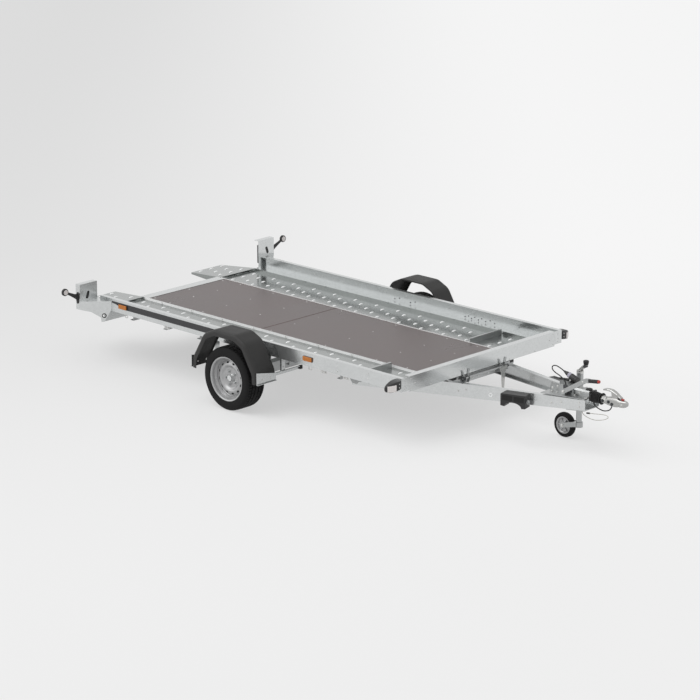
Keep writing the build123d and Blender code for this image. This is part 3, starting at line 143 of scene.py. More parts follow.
RUBBER = material("tyre_rubber", (0.0045, 0.0045, 0.0048), 0.75, spread=0.2, scale=16.0, bump=0.3,
                  bump_scale=900.0, specular=0.25)
SOFT_RUBBER = material("black_rubber", (0.011, 0.011, 0.0115), 0.6, spread=0.2, scale=30.0, bump=0.2)
RIM_PAINT = material("rim_paint", (0.40, 0.402, 0.405), 0.34, metallic=0.45, spread=0.04, scale=14.0,
                     coat=0.25)
RIM_FACE = material("rim_hub_face", (0.40, 0.40, 0.405), 0.38, metallic=0.5, spread=0.05, scale=20.0,
                    coat=0.1)
IRON = material("coated_iron", (0.07, 0.073, 0.077), 0.5, metallic=0.5, spread=0.2, scale=25.0, bump=0.4,
                bump_scale=300.0)
TAPE = material("black_stripe_film", (0.024, 0.024, 0.026), 0.35, spread=0.08, scale=8.0)
AMBER = material("amber_lens", (0.44, 0.135, 0.006), 0.2, spread=0.08, scale=40.0, coat=0.15)
RED = material("red_lens", (0.42, 0.012, 0.012), 0.16, spread=0.1, scale=40.0, coat=0.4)
RED_CAP = material("red_plastic", (0.40, 0.03, 0.02), 0.35, spread=0.08, scale=60.0)
CLEAR = material("clear_lens", (0.70, 0.665, 0.65), 0.16, spread=0.05, scale=60.0, coat=0.5)
LILAC = material("pale_collar", (0.36, 0.35, 0.42), 0.4, spread=0.05, scale=80.0)
# Painted shade: near black for the rail holes, rim vents, chock pockets and the ball cup.
RECESS_PAINTED_SHADE = material("recess_painted_shade", (0.008, 0.008, 0.008), 0.85, spread=0.2)
ROPE = material("thin_steel_rope", (0.45, 0.44, 0.40), 0.4, metallic=0.6, spread=0.2, scale=900.0, bump=0.5)
CAP_ZINC = material("hub_cap_zinc", (0.66, 0.67, 0.67), 0.28, metallic=0.6, spread=0.04)


# ---------------------------------------------------------------- mesh helpers
def piece(name, made, mat, body, stands_for=(), smooth=None):
    """Adds what a builder made as a visible piece that rides on a CAD body."""
    mesh = made.mesh(name)
    obj = bpy.data.objects.new(name, mesh)
    bpy.context.scene.collection.objects.link(obj)
    mesh.materials.append(mat)
    if smooth is not None:
        with bpy.context.temp_override(object=obj, active_object=obj, selected_objects=[obj]):
            bpy.ops.object.shade_smooth_by_angle(angle=math.radians(smooth))
    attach(obj, body)
    if stands_for:
        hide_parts(*stands_for)
    return obj


def circle(steps):
    """Evenly spaced angles once round."""
    return [2 * math.pi * k / steps for k in range(steps)]


class Builder:
    """Collects plain solids into one mesh."""

    def __init__(self):
        self.bm = bmesh.new()

    def mesh(self, name):
        bmesh.ops.recalc_face_normals(self.bm, faces=self.bm.faces)
        mesh = bpy.data.meshes.new(name)
        self.bm.to_mesh(mesh)
        self.bm.free()
        return mesh

    def rings(self, rings, closed=False, caps=True):
        """Skins a list of equal rings of points; closed joins the last to the first."""
        loops = [[self.bm.verts.new(p) for p in ring] for ring in rings]
        count = len(loops[0])
        pairs = list(zip(loops, loops[1:])) + ([(loops[-1], loops[0])] if closed else [])
        for a, b in pairs:
            for i in range(count):
                j = (i + 1) % count
                self.bm.faces.new((a[i], a[j], b[j], b[i]))
        if caps and not closed:
            for loop in (loops[0][::-1], loops[-1]):
                self.bm.faces.new(loop)

    def prism(self, outline, direction):
        """Extrudes a closed outline of 3-D points along a vector."""
        shift = Vector(direction)
        self.rings([[Vector(p) for p in outline], [Vector(p) + shift for p in outline]])

    def block(self, low, high, bevel=0.0):
        """An upright box between two corners, with bevelled edges where asked."""
        low, high = Vector(low), Vector(high)
        made = bmesh.ops.create_cube(self.bm, size=1.0)["verts"]
        centre, size = (low + high) / 2, high - low
        bmesh.ops.scale(self.bm, vec=size, verts=made)
        bmesh.ops.translate(self.bm, vec=centre, verts=made)
        if bevel:
            edges = {e for v in made for e in v.link_edges}
            bmesh.ops.bevel(self.bm, geom=list(edges), offset=bevel, segments=2, affect="EDGES", profile=0.5)

    def lathe(self, profile, origin, axis, steps=48):
        """Turns a closed outline of (distance along the axis, radius) points round an axis."""
        axis = Vector(axis).normalized()
        across = axis.orthogonal().normalized()
        other = axis.cross(across)
        rings = []
        for angle in circle(steps):
            out = across * math.cos(angle) + other * math.sin(angle)
            rings.append([Vector(origin) + axis * d + out * r for d, r in profile])
        self.rings(rings, closed=True)

    def rod(self, start, end, radius, steps=20, end_radius=None):
        """A round bar between two points, tapered where asked."""
        start, end = Vector(start), Vector(end)
        axis = (end - start).normalized()
        across = axis.orthogonal().normalized()
        other = axis.cross(across)
        rings = []
        for centre, r in ((start, radius), (end, radius if end_radius is None else end_radius)):
            rings.append([centre + (across * math.cos(a) + other * math.sin(a)) * r for a in circle(steps)])
        self.rings(rings)

    def bolt(self, centre, axis, size=0.008, washer=True):
        """A hexagon head with a washer and a small domed end, size across its corners' radius."""
        axis = Vector(axis).normalized()
        centre = Vector(centre)
        if washer:
            self.rod(centre - axis * 0.001, centre + axis * 0.0018, size * 1.35, steps=20)
        self.rod(centre, centre + axis * size * 0.75, size, steps=6)
        self.rod(centre + axis * size * 0.75, centre + axis * size * 0.95, size * 0.8, steps=12,
                 end_radius=size * 0.55)

    def tube(self, points, radius, steps=10):
        """A round wire along points, its rings turned to halve each corner."""
        points = [Vector(p) for p in points]
        rings = []
        up = None
        for i, point in enumerate(points):
            before = (point - points[i - 1]).normalized() if i else None
            after = (points[i + 1] - point).normalized() if i + 1 < len(points) else None
            axis = ((before or after) + (after or before)).normalized()
            if up is None:
                up = axis.orthogonal().normalized()
            up = (up - axis * up.dot(axis)).normalized()
            other = axis.cross(up)
            rings.append([point + (up * math.cos(a) + other * math.sin(a)) * radius for a in circle(steps)])
        self.rings(rings)

    def dome(self, centre, along, across, length, width, height, steps=14):
        """A raised oval boss standing on a face, its long axis along one direction."""
        centre, along, across = Vector(centre), Vector(along).normalized(), Vector(across).normalized()
        up = along.cross(across)
        rings = []
        for share, lift in ((1.0, 0.0), (0.86, 0.45), (0.62, 0.82), (0.3, 1.0)):
            rings.append([centre + along * (math.cos(a) * length / 2 * share)
                          + across * (math.sin(a) * width / 2 * share)
                          + up * height * lift for a in circle(steps)])
        self.rings(rings)

    def sweep(self, frames, section):
        """Runs a closed section of (side, out) pairs through (origin, side, out) frames."""
        self.rings([[origin + side * a + out * b for a, b in section] for origin, side, out in frames])


class Span:
    """The box of a CAD node, with its six sides named."""

    def __init__(self, node):
        low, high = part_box(node)
        self.rear, self.right, self.low = low
        self.front, self.left, self.top = high


def rounded(points, radius, steps=6):
    """An open run of 2-D points with its corners rounded."""
    out = [Vector(points[0])]
    for a, b, c in zip(points, points[1:], points[2:]):
        a, b, c = Vector(a), Vector(b), Vector(c)
        before, after = (a - b).normalized(), (c - b).normalized()
        half = before.angle(after) / 2
        reach = radius / math.tan(half)
        middle = b + (before + after).normalized() * (radius / math.sin(half))
        first, last = b + before * reach - middle, b + after * reach - middle
        turn = first.angle_signed(last)
        for k in range(steps + 1):
            out.append(middle + Matrix.Rotation(-turn * k / steps, 2) @ first)
    out.append(Vector(points[-1]))
    return out


def dress(nodes, mat):
    """Gives CAD nodes a finish."""
    for name in nodes:
        obj = NODES[name]
        obj.data.materials.clear()
        obj.data.materials.append(mat)


# ---------------------------------------------------------------- camera
AZIMUTH = math.radians(44.02)
ELEVATION = math.radians(16.41)
AIM = Vector((-0.9652, 0.7370, 0.0))
DISTANCE = 24.044


def add_camera():
    back = Vector((math.sin(AZIMUTH) * math.cos(ELEVATION), -math.cos(AZIMUTH) * math.cos(ELEVATION),
                   math.sin(ELEVATION)))
    data = bpy.data.cameras.new("camera")
    data.sensor_width = 36.0
    data.lens = 143.65
    data.clip_end = 400.0
    camera = bpy.data.objects.new("camera", data)
    camera.location = AIM + back * DISTANCE
    camera.rotation_euler = back.to_track_quat("Z", "Y").to_euler()
    bpy.context.scene.collection.objects.link(camera)
    bpy.context.scene.camera = camera


add_camera()


# ---------------------------------------------------------------- cables
def cable(name, route, radius, mat, body, slot, node, **facts):
    """A cord on a NURBS spline through its route, given in millimetres from the axle."""
    curve = bpy.data.curves.new(name, "CURVE")
    curve.dimensions = "3D"
    spline = curve.splines.new("NURBS")
    spline.points.add(len(route) - 1)
    for point, (x, y, z) in zip(spline.points, route):
        point.co = (at(x), y * MM, z * MM, 1)
    spline.order_u = 3
    spline.use_endpoint_u = True
    spline.resolution_u = 12
    curve.bevel_depth = radius
    curve.bevel_resolution = 4
    curve.use_fill_caps = True
    curve.materials.append(mat)
    obj = bpy.data.objects.new(name, curve)
    bpy.context.scene.collection.objects.link(obj)
    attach(obj, body)
    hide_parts(node)
    return obj


PLUG_CABLE = (
    (2488.7, 30, 588.1), (2440, 33, 608), (2392, 36, 616), (2358, 38, 600), (2362, 38, 574), (2394, 36, 556),
    (2440, 32, 545), (2488, 28, 524), (2514, 24, 492), (2522, 22, 452.5))
COUPLING_CABLE = (
    (2808, 0, 413.4), (2814, 0, 398), (2834, 0, 383), (2868, 0, 372), (2908, 0, 367), (2948, 0, 378),
    (2976, 0, 397), (2984, 0, 422))
BREAKAWAY_CABLE = (
    (2726, -38, 350.5), (2729, -39, 324), (2752, -40, 306), (2800, -41, 294), (2852, -42, 292),
    (2904, -42, 301), (2950, -41, 317), (2982, -40, 334), (2984, -40, 348), (2960, -40, 355),
    (2910, -40, 350), (2850, -41, 341), (2788, -42, 333))
cable("plug_cable_skin", PLUG_CABLE, 0.0045, BLACK, "drawbar", "black_plastic", "plug_cable", length=0.374,
      far_end="object", stiffness="medium", lay="loose")
cable("coupling_cable_skin", COUPLING_CABLE, 0.0045, BLACK, "drawbar", "black_plastic", "coupling_cable",
      length=0.216, far_end="object", stiffness="medium", lay="hanging")
crimp = Builder()
crimp.rod((at(2776), -0.042, 0.3315), (at(2804), -0.0415, 0.3355), 0.0065, steps=16)
CRIMP = piece("breakaway_crimp", crimp, BLACK, "drawbar", smooth=40)
cable("breakaway_cable_skin", BREAKAWAY_CABLE, 0.0025, ROPE, "drawbar", "steel_rope", "breakaway_cable",
      length=0.50, far_end="fitting", stiffness="stiff", lay="loose", with_pieces=[CRIMP])

# ---------------------------------------------------------------- finishes of the CAD nodes
dress(["side_rail_right", "side_rail_left", "front_beam", "rear_beam", "lamp_beam", "lamp_carrier_right",
       "lamp_carrier_left", "mudguard_brackets"], ZINC)
dress(["track_right", "track_left", "ramp_flap_right", "ramp_flap_left"], ZINC_TRACK)
dress(["drawbar_arm_right", "drawbar_arm_left"], ZINC)
dress(["cross_members", "axle_tube", "floor_runners", "drawbar_tie",
       "pivot_brackets", "coupling_bracket", "wheel_stops", "latches", "latch_shaft", "jockey_clamp",
       "jockey_leg", "jockey_fork", "handbrake_lever", "overrun_housing"], ZINC_BAR)
dress(["floor_rear", "floor_front"], PLY)
dress(["swing_arms", "hub_right", "hub_left"], IRON)
dress(["tie_buffers", "plug_holder"], SOFT_RUBBER)
dress(["jockey_crank", "latch_handles"], BRIGHT)
dress(["side_markers"], AMBER)

RAIL = Span("side_rail_right")
TRACK = Span("track_right")
BEAM = Span("front_beam")
FLAP = Span("ramp_flap_right")
TYRE = Span("tyre_right")
GUARD_BOX = Span("mudguard_right")
WHEEL_STOP = Span("wheel_stops")
CARRIER = Span("lamp_carrier_right")
TRACK_FACE_Z = 0.440
TRACK_LIP_Z = 0.462
WHEEL_Z = (TYRE.low + TYRE.top) / 2
WHEEL_Y = -(TYRE.right + TYRE.left) / 2
# Stations in millimetres forward of the axle, heights and rows in metres.
HOOK_STATIONS = (-1484, 693)
MARKER_STATIONS = (-1493, 690)
SCREW_STATIONS = (-1500, -1090, -680, -270, 360, 930, 1260)
SCREW_ROWS = (-0.415, -0.14, 0.14, 0.415)
RAIL_TABS = ((-974, 60), (847, 62), (1087, 62))
RAIL_HOLES = ((652, 0.478), (690, 0.490), (724, 0.476), (760, 0.492), (800, 0.478), (836, 0.494),
              (880, 0.480), (930, 0.496), (980, 0.482), (-150, 0.480), (-95, 0.494), (30, 0.480), (85, 0.494))
RAIL_BOLTS = ((1010, 0.527), (1010, 0.487), (1342, 0.540), (1342, 0.500), (-1745, 0.53), (-1745, 0.49))
LAMP_FOOT_Y = 0.9503


def paint_fold_highlight_and_rail_shade():
    """Paints a white highlight on each track's upright inner fold and a darker shade on each rail's inner
    face.
    """
    for name, side in SIDES:
        mesh = NODES["track_" + name].data
        # The upright inner fold gets the painted white highlight.
        mesh.materials.append(FOLD_PAINTED_HIGHLIGHT)
        for face in mesh.polygons:
            inner = abs(abs(face.center.y) - abs(TRACK.left)) < 0.02
            if inner and abs(face.normal.y) > 0.7 and face.center.z > TRACK_FACE_Z:
                face.material_index = 1
        mesh = NODES["side_rail_" + name].data
        # Each rail's inner face gets the darker painted shade.
        mesh.materials.append(RAIL_INNER_PAINTED_SHADE)
        for face in mesh.polygons:
            if face.normal.y * side < -0.7:
                face.material_index = 1


paint_fold_highlight_and_rail_shade()


# ---------------------------------------------------------------- bosses on tracks and ramps
BOSS = dict(length=0.048, width=0.019, height=0.0065)
LANES = 5
LANE_PITCH = 0.065
BOSS_PITCH = 0.250


def lane_y(lane):
    return abs(TRACK.left) + 0.076 + lane * LANE_PITCH


def add_bosses():
    for name, side in SIDES:
        made = Builder()
        for lane in range(LANES):
            x = TRACK.rear + 0.07 + (lane % 2) * BOSS_PITCH / 2
            while x < TRACK.front - 0.03:
                if not WHEEL_STOP.rear - 0.03 < x < WHEEL_STOP.front + 0.03:
                    made.dome((x, side * lane_y(lane), TRACK_FACE_Z), (0, 1, 0), (-1, 0, 0), **BOSS)
                x += BOSS_PITCH
        # The bosses are white with painted glint.
        piece("track_bosses_" + name, made, WHITE_PAINTED_GLINT, "deck", smooth=50)
        ramp = Builder()
        slope = Vector((FLAP.rear - at(-1797), 0, -0.022)).normalized()
        for lane in range(LANES):
            run = 0.075 + (lane % 2) * BOSS_PITCH / 2
            while run < 0.34:
                foot = Vector((at(-1797), side * lane_y(lane), FLAP.top)) + slope * run
                taper = abs(FLAP.right) - 0.078 * run / 0.37
                if lane_y(lane) + 0.03 < taper:
                    ramp.dome(foot, (0, 1, 0), (-1, 0, 0), **BOSS)
                run += BOSS_PITCH
        piece("ramp_bosses_" + name, ramp, WHITE_PAINTED_GLINT, "deck", smooth=50)


add_bosses()


# ---------------------------------------------------------------- rails: stripe, bolts, lashing hooks
def add_rail_fittings():
    for name, side in SIDES:
        face = side * abs(RAIL.right)
        tape = Builder()
        outline = ((-1637, 553), (-1637, 538), (-1583, 531), (-1557, 524), (-1550, 502), (-330, 502),
                   (-330, 553))
        tape.prism([(at(x), face, z * MM) for x, z in outline], (0, side * 0.0006, 0))
        piece("rail_stripe_" + name, tape, TAPE, "deck")
        hooks = Builder()
        for station in HOOK_STATIONS:
            hook_y = side * 0.925
            drop = 0.034
            hooks.tube([(at(station - 17), hook_y, RAIL.low + 0.002),
                        (at(station - 17), hook_y, RAIL.low - drop + 0.008),
                        (at(station - 11), hook_y, RAIL.low - drop),
                        (at(station + 11), hook_y, RAIL.low - drop),
                        (at(station + 17), hook_y, RAIL.low - drop + 0.008),
                        (at(station + 17), hook_y, RAIL.low + 0.002)],
                       0.0035)
        piece("lashing_hooks_" + name, hooks, ZINC_BOLT, "deck", smooth=50)
        tabs = Builder()
        for station, length in RAIL_TABS:
            low_x, high_x = at(station - length / 2), at(station + length / 2)
            tab_y = side * 0.930
            tabs.block((low_x, tab_y - 0.002, RAIL.low - 0.030), (high_x, tab_y + 0.002, RAIL.low),
                       bevel=0.0008)
            tabs.block((low_x, tab_y - 0.016, RAIL.low - 0.004), (high_x, tab_y + 0.016, RAIL.low),
                       bevel=0.0008)
            for share in (0.28, 0.72):
                tabs.bolt((low_x + (high_x - low_x) * share, tab_y + side * 0.002, RAIL.low - 0.017),
                          (0, side, 0), 0.0065)
        piece("rail_tabs_" + name, tabs, ZINC_BOLT, "deck", smooth=40)
        bolts = Builder()
        for station, height in RAIL_BOLTS:
            bolts.bolt((at(station), face, height), (0, side, 0), 0.0042, washer=False)
        for height in (0.545, 0.505, 0.480):
            bolts.bolt((RAIL.front, side * 0.906, height), (1, 0, 0), 0.0042, washer=False)
        for station, height in ((1180, 0.530), (1260, 0.505), (1420, 0.52)):
            bolts.dome((at(station), face - side * 0.003, height), (1, 0, 0), (0, 0, -side), 0.011, 0.011,
                       0.003)
        piece("rail_bolts_" + name, bolts, ZINC_BOLT, "deck", smooth=40)
        # Dark discs on the rail's inner face: painted shade for its holes.
        holes = Builder()
        inner = face - side * 0.003
        for station, height in RAIL_HOLES:
            holes.rod((at(station), inner, height), (at(station), inner - side * 0.0008, height), 0.0055,
                      steps=14)
        piece("rail_hole_painted_shade_" + name, holes, RECESS_PAINTED_SHADE, "deck")


add_rail_fittings()


def add_floor_screws():
    """Screws along the members and the plywood's edge strip."""
    screws = Builder()
    top = Span("floor_front").top
    for station in SCREW_STATIONS:
        for y in SCREW_ROWS:
            screws.dome((at(station), y, top), (1, 0, 0), (0, 1, 0), 0.010, 0.010, 0.0022)
    for y in (-0.4, 0.0, 0.4):
        screws.dome((Span("floor_rear").rear + 0.03, y, top), (1, 0, 0), (0, 1, 0), 0.013, 0.013, 0.0026)
    piece("floor_screws", screws, ZINC_BOLT, "deck", smooth=50)
    seam = Builder()
    rear, front = Span("floor_rear").front, Span("floor_front").rear
    seam.block((rear - 0.003, -0.4475, top), (front + 0.003, 0.4475, top + 0.0006))
    piece("floor_seam", seam, PLY_EDGE, "deck")
    for name, side in SIDES:
        strap = Builder()
        for k in range(9):
            x = at(-1560 + k * 375)
            strap.bolt((x, side * (abs(TRACK.left) + 0.0035), 0.4515), (0, side, 0), 0.005, washer=False)
        piece("edge_screws_" + name, strap, ZINC_BOLT, "deck", smooth=40)


add_floor_screws()


def add_deck_bolts():
    beam = Builder()
    for side in (-1, 1):
        for y, height in ((0.845, 0.552), (0.845, 0.470), (0.80, 0.511)):
            beam.bolt((BEAM.front, side * y, height), (1, 0, 0), 0.0042, washer=False)
    for y in (-0.62, -0.31, 0.31, 0.62):
        beam.bolt((BEAM.front, y, 0.459), (1, 0, 0), 0.0042, washer=False)
    piece("beam_bolts", beam, ZINC_BOLT, "deck", smooth=40)
    stops = Builder()
    for side in (-1, 1):
        for y in (0.49, 0.656, 0.82):
            stops.bolt((WHEEL_STOP.rear + 0.016, side * y, TRACK_FACE_Z + 0.004), (0, 0, 1), 0.006)
    piece("wheel_stop_bolts", stops, ZINC_BOLT, "deck", smooth=40)
    keepers = Builder()
    for side in (-1, 1):
        keepers.block((BEAM.rear - 0.062, side * 0.462 - 0.012, TRACK_LIP_Z),
                      (BEAM.rear - 0.004, side * 0.462 + 0.012, TRACK_LIP_Z + 0.010), bevel=0.003)
    piece("floor_corner_pads", keepers, BLACK, "deck", smooth=40)


add_deck_bolts()


# ---------------------------------------------------------------- lamps
def add_lamps():
    tail = Span("tail_lamps")
    marker = Span("marker_lamps")
    front = Span("front_lamps")
    body, lens, blink, white = Builder(), Builder(), Builder(), Builder()
    for side in (-1, 1):
        inner, outer = side * LAMP_FOOT_Y, side * abs(tail.right)
        low_y, high_y = min(inner, outer), max(inner, outer)
        body.block((tail.rear + 0.008, low_y, tail.low), (tail.front, high_y, tail.top), bevel=0.007)
        cell = (tail.top - tail.low - 0.016) / 3
        for k, part in enumerate((lens, lens, blink)):
            base = tail.low + 0.008 + k * cell
            part.block((tail.rear, low_y + 0.010, base + 0.002),
                       (tail.rear + 0.012, high_y - 0.010, base + cell - 0.002), bevel=0.004)
        white.block((tail.rear - 0.0005, low_y + 0.022, tail.low + 0.020),
                    (tail.rear + 0.006, low_y + 0.062, tail.low + 0.052), bevel=0.002)
    piece("tail_lamp_bodies", body, BLACK, "deck", stands_for=["tail_lamps"], smooth=40)
    piece("tail_lamp_red", lens, RED, "deck", smooth=40)
    piece("tail_lamp_amber", blink, AMBER, "deck", smooth=40)
    piece("tail_lamp_white", white, CLEAR, "deck", smooth=40)

    arm, clear, red = Builder(), Builder(), Builder()
    middle_x = (marker.rear + marker.front) / 2
    for side in (-1, 1):
        foot_y, tip_y = side * 1.1413, side * (abs(marker.right) - 0.031)
        arm.rings([[(middle_x + 0.015 * math.cos(t), foot_y + side * reach, 0.575 + 0.050 * math.sin(t))
                    for t in circle(20)] for reach in (0.0, 0.006)])
        sections = []
        for share, height, width in ((0.0, 0.030, 0.012), (0.25, 0.020, 0.0115), (0.6, 0.0135, 0.0105),
                                     (1.0, 0.0125, 0.0105)):
            y = foot_y + (tip_y - foot_y) * share
            z = 0.578 + (0.650 - 0.578) * share
            sections.append([(middle_x + width * math.cos(t), y, z + height * math.sin(t))
                             for t in circle(16)])
        arm.rings(sections)
        arm.lathe([(-0.013, 0.0), (-0.013, 0.026), (-0.008, 0.0305), (0.008, 0.031), (0.0135, 0.028),
                   (0.0135, 0.0)],
                  (middle_x, tip_y, 0.650), (1, 0, 0), steps=36)
        clear.lathe([(0.012, 0.0), (0.012, 0.0235), (0.0145, 0.022), (0.0158, 0.014), (0.016, 0.0)],
                    (middle_x, tip_y, 0.650), (1, 0, 0), steps=36)
        red.lathe([(-0.012, 0.0), (-0.012, 0.0235), (-0.0145, 0.022), (-0.0158, 0.014), (-0.016, 0.0)],
                  (middle_x, tip_y, 0.650), (1, 0, 0), steps=36)
    piece("marker_arms", arm, SOFT_RUBBER, "deck", stands_for=["marker_lamps"], smooth=40)
    piece("marker_clear", clear, CLEAR, "deck", smooth=40)
    piece("marker_red", red, RED, "deck", smooth=40)

    shell, glass, screws = Builder(), Builder(), Builder()
    corner = RAIL.front
    for side in (-1, 1):
        sections = []
        root = LAMP_FOOT_Y
        for reach, rear, ahead, low, top in ((0.0, 0.080, 0.000, 0.490, 0.556),
                                             (0.020, 0.079, 0.005, 0.486, 0.556),
                                             (0.050, 0.074, 0.003, 0.481, 0.555),
                                             (0.075, 0.068, -0.004, 0.478, 0.551),
                                             (0.100, 0.064, -0.016, 0.478, 0.543),
                                             (0.117, 0.062, -0.029, 0.481, 0.532),
                                             (0.126, 0.059, -0.040, 0.489, 0.520)):
            y = side * (root + reach)
            x0, x1 = corner - rear, corner + ahead
            bevel = 0.007
            sections.append([(x0, y, low + bevel), (x0 + bevel, y, low), (x1 - bevel, y, low),
                             (x1, y, low + bevel), (x1, y, top - bevel), (x1 - bevel, y, top),
                             (x0 + bevel, y, top), (x0, y, top - bevel)])
        shell.rings(sections)
        inner = Vector((corner + 0.0022, side * (root + 0.058), 0))
        outer = Vector((corner - 0.0335, side * (root + 0.119), 0))
        out = Vector(((outer - inner).y * side, -(outer - inner).x * side, 0)).normalized()
        loops = []
        for lift, shrink in ((-0.004, 0.0), (0.0078, 0.0), (0.0095, 0.004)):
            ends = [inner + (outer - inner).normalized() * shrink,
                    outer - (outer - inner).normalized() * shrink]
            loops.append([ends[0] + out * lift + Vector((0, 0, 0.482 + shrink)),
                          ends[1] + out * lift + Vector((0, 0, 0.484 + shrink)),
                          ends[1] + out * lift + Vector((0, 0, 0.530 - shrink)),
                          ends[0] + out * lift + Vector((0, 0, 0.536 - shrink))])
        glass.rings(loops)
        for height in (0.508, 0.536):
            screws.dome((corner + 0.0045, side * (root + 0.024), height), (0, 1, 0), (0, 0, 1), 0.009, 0.009,
                        0.003)
    piece("front_lamp_shells", shell, BLACK, "deck", stands_for=["front_lamps"],
          smooth=45)
    piece("front_lamp_lenses", glass, CLEAR, "deck", smooth=30)
    piece("front_lamp_screws", screws, ZINC_BOLT, "deck", smooth=50)

    frames, lenses = Builder(), Builder()
    for side in (-1, 1):
        face = side * abs(RAIL.right)
        for station in MARKER_STATIONS:
            x0, x1 = at(station - 48), at(station + 48)
            low_y, high_y = sorted((face, face + side * 0.006))
            frames.block((x0 - 0.002, low_y, 0.503), (x1 + 0.002, high_y, 0.543), bevel=0.0015)
            low_y, high_y = sorted((face + side * 0.004, face + side * 0.0143))
            lenses.block((x0, low_y, 0.505), (x1, high_y, 0.541), bevel=0.0035)
    piece("side_marker_bases", frames, BLACK, "deck", smooth=40)
    piece("side_marker_lenses", lenses, AMBER, "deck", stands_for=["side_markers"],
          smooth=40)

    holes = Builder()
    bumps = Builder()
    for side in (-1, 1):
        start = Vector((at(-1821), side * abs(CARRIER.right), 0))
        along = Vector((0.184, -side * 0.1907, 0)).normalized()
        out = Vector((0.1907, side * 0.184, 0)).normalized()
        centre = start + along * (0.755 * 0.265) + Vector((0, 0, 0.423))
        holes.lathe([(-0.001, 0.0125), (0.0025, 0.0125), (0.0025, 0.0200), (-0.001, 0.0200)], centre, out,
                    steps=28)
        low_y, high_y = sorted((side * 1.024, side * 1.054))
        bumps.block((CARRIER.rear + 0.022, low_y, CARRIER.top - 0.012),
                    (CARRIER.rear + 0.040, high_y, CARRIER.top - 0.0002), bevel=0.003)
    piece("skirt_grommets", holes, BLACK, "deck", smooth=50)
    piece("carrier_caps", bumps, BLACK, "deck", smooth=60)


add_lamps()


# ---------------------------------------------------------------- mudguards
ARCH_CORNERS = ((375, 294), (369, 384), (238, 602), (120, 656))
ARCH_BEND = 0.115
GUARD_SECTION = (
    (0.0, -0.014), (0.0, -0.004), (0.0022, -0.0016), (0.007, -0.0006), (0.030, -0.0004), (0.033, -0.0016),
    (0.036, -0.0004), (0.100, 0.0), (0.168, -0.0004), (0.171, -0.0016), (0.174, -0.0004), (0.188, -0.0010),
    (0.197, -0.0034), (0.2045, -0.009), (0.2087, -0.0175), (0.210, -0.028), (0.210, -0.0505),
    (0.2072, -0.0505), (0.2072, -0.028), (0.2055, -0.018), (0.2015, -0.0112), (0.195, -0.0062),
    (0.187, -0.004), (0.100, -0.003), (0.008, -0.0034), (0.0045, -0.005), (0.0028, -0.014))


def arch_frames(side):
    """Frames along the mudguard from its rear foot over the wheel to its front foot."""
    corners = [(-x * MM, z * MM) for x, z in ARCH_CORNERS] + [(x * MM, z * MM) for x,
                                                              z in reversed(ARCH_CORNERS)]
    line = rounded(corners, ARCH_BEND, steps=9)
    frames = []
    for k, point in enumerate(line):
        before = point - line[k - 1] if k else line[1] - point
        after = line[k + 1] - point if k + 1 < len(line) else before
        if before.length < 1e-6 or after.length < 1e-6:
            continue
        heading = (before.normalized() + after.normalized()).normalized()
        frames.append((Vector((at(0) + point.x, side * abs(GUARD_BOX.left), point.y)), Vector((0, side, 0)),
                       Vector((-heading.y, 0, heading.x))))
    return frames


def add_mudguards():
    for name, side in SIDES:
        arch = Builder()
        arch.sweep(arch_frames(side), GUARD_SECTION)
        piece("mudguard_arch_" + name, arch, GUARD, "deck",
              stands_for=["mudguard_" + name], smooth=38)
        bolts = Builder()
        for end in (-1, 1):
            for y in (1.06, 1.15):
                bolts.bolt((at(end * 380.0), side * y, 0.33), (end, 0, 0), 0.006)
                bolts.bolt((at(end * 366.0), side * y, 0.33), (-end, 0, 0), 0.006)
            for height in (0.385, 0.44):
                bolts.bolt((at(end * 380.0), side * 0.915, height), (end, 0, 0), 0.006)
        piece("mudguard_bolts_" + name, bolts, ZINC_BOLT, "deck", smooth=40)
    caps = Builder()
    for side in (-1, 1):
        for end in (-1, 1):
            low_y, high_y = sorted((side * 0.712, side * 0.742))
            x0, x1 = sorted((at(end * 374.0), at(end * 395.0)))
            caps.block((x0, low_y, 0.330), (x1, high_y, 0.361), bevel=0.004)
    piece("bracket_end_caps", caps, SOFT_RUBBER, "deck", smooth=40)


add_mudguards()


# ---------------------------------------------------------------- tyres, rims and hub caps
TREAD_PITCHES = 64


def tyre_profile():
    """Half widths and radii from the inner bead over the tread to the outer bead, then back inside."""
    radius = (TYRE.top - TYRE.low) / 2
    wall = ((0.0840, 0.1757), (0.0885, 0.1782), (0.0925, 0.1850), (0.0950, 0.1920), (0.0952, 0.1945),
            (0.0966, 0.1952), (0.0973, 0.2050), (0.0975, 0.2140), (0.0971, 0.2235), (0.0960, 0.2330),
            (0.0950, 0.2360), (0.0953, 0.2378), (0.0930, 0.2440), (0.0885, 0.2520), (0.0845, 0.2562))
    tread = [(0.0800, radius - 0.0034), (0.0750, radius - 0.0018), (0.0580, radius - 0.0008)]
    for centre in (0.0530, 0.0190):
        tread += [(centre + 0.0045, radius - 0.0005), (centre + 0.0035, radius - 0.0070),
                  (centre - 0.0035, radius - 0.0070), (centre - 0.0045, radius - 0.0003)]
    outer = list(wall) + tread
    inside = ((0.0, radius - 0.014), (0.050, radius - 0.015), (0.078, radius - 0.024), (0.086, 0.222),
              (0.085, 0.200), (0.078, 0.1757))
    full = [(-d, r) for d, r in outer] + [(d, r) for d, r in reversed(outer)]
    return full, [(d, r) for d, r in reversed(inside)] + [(-d, r) for d, r in inside[1:]]


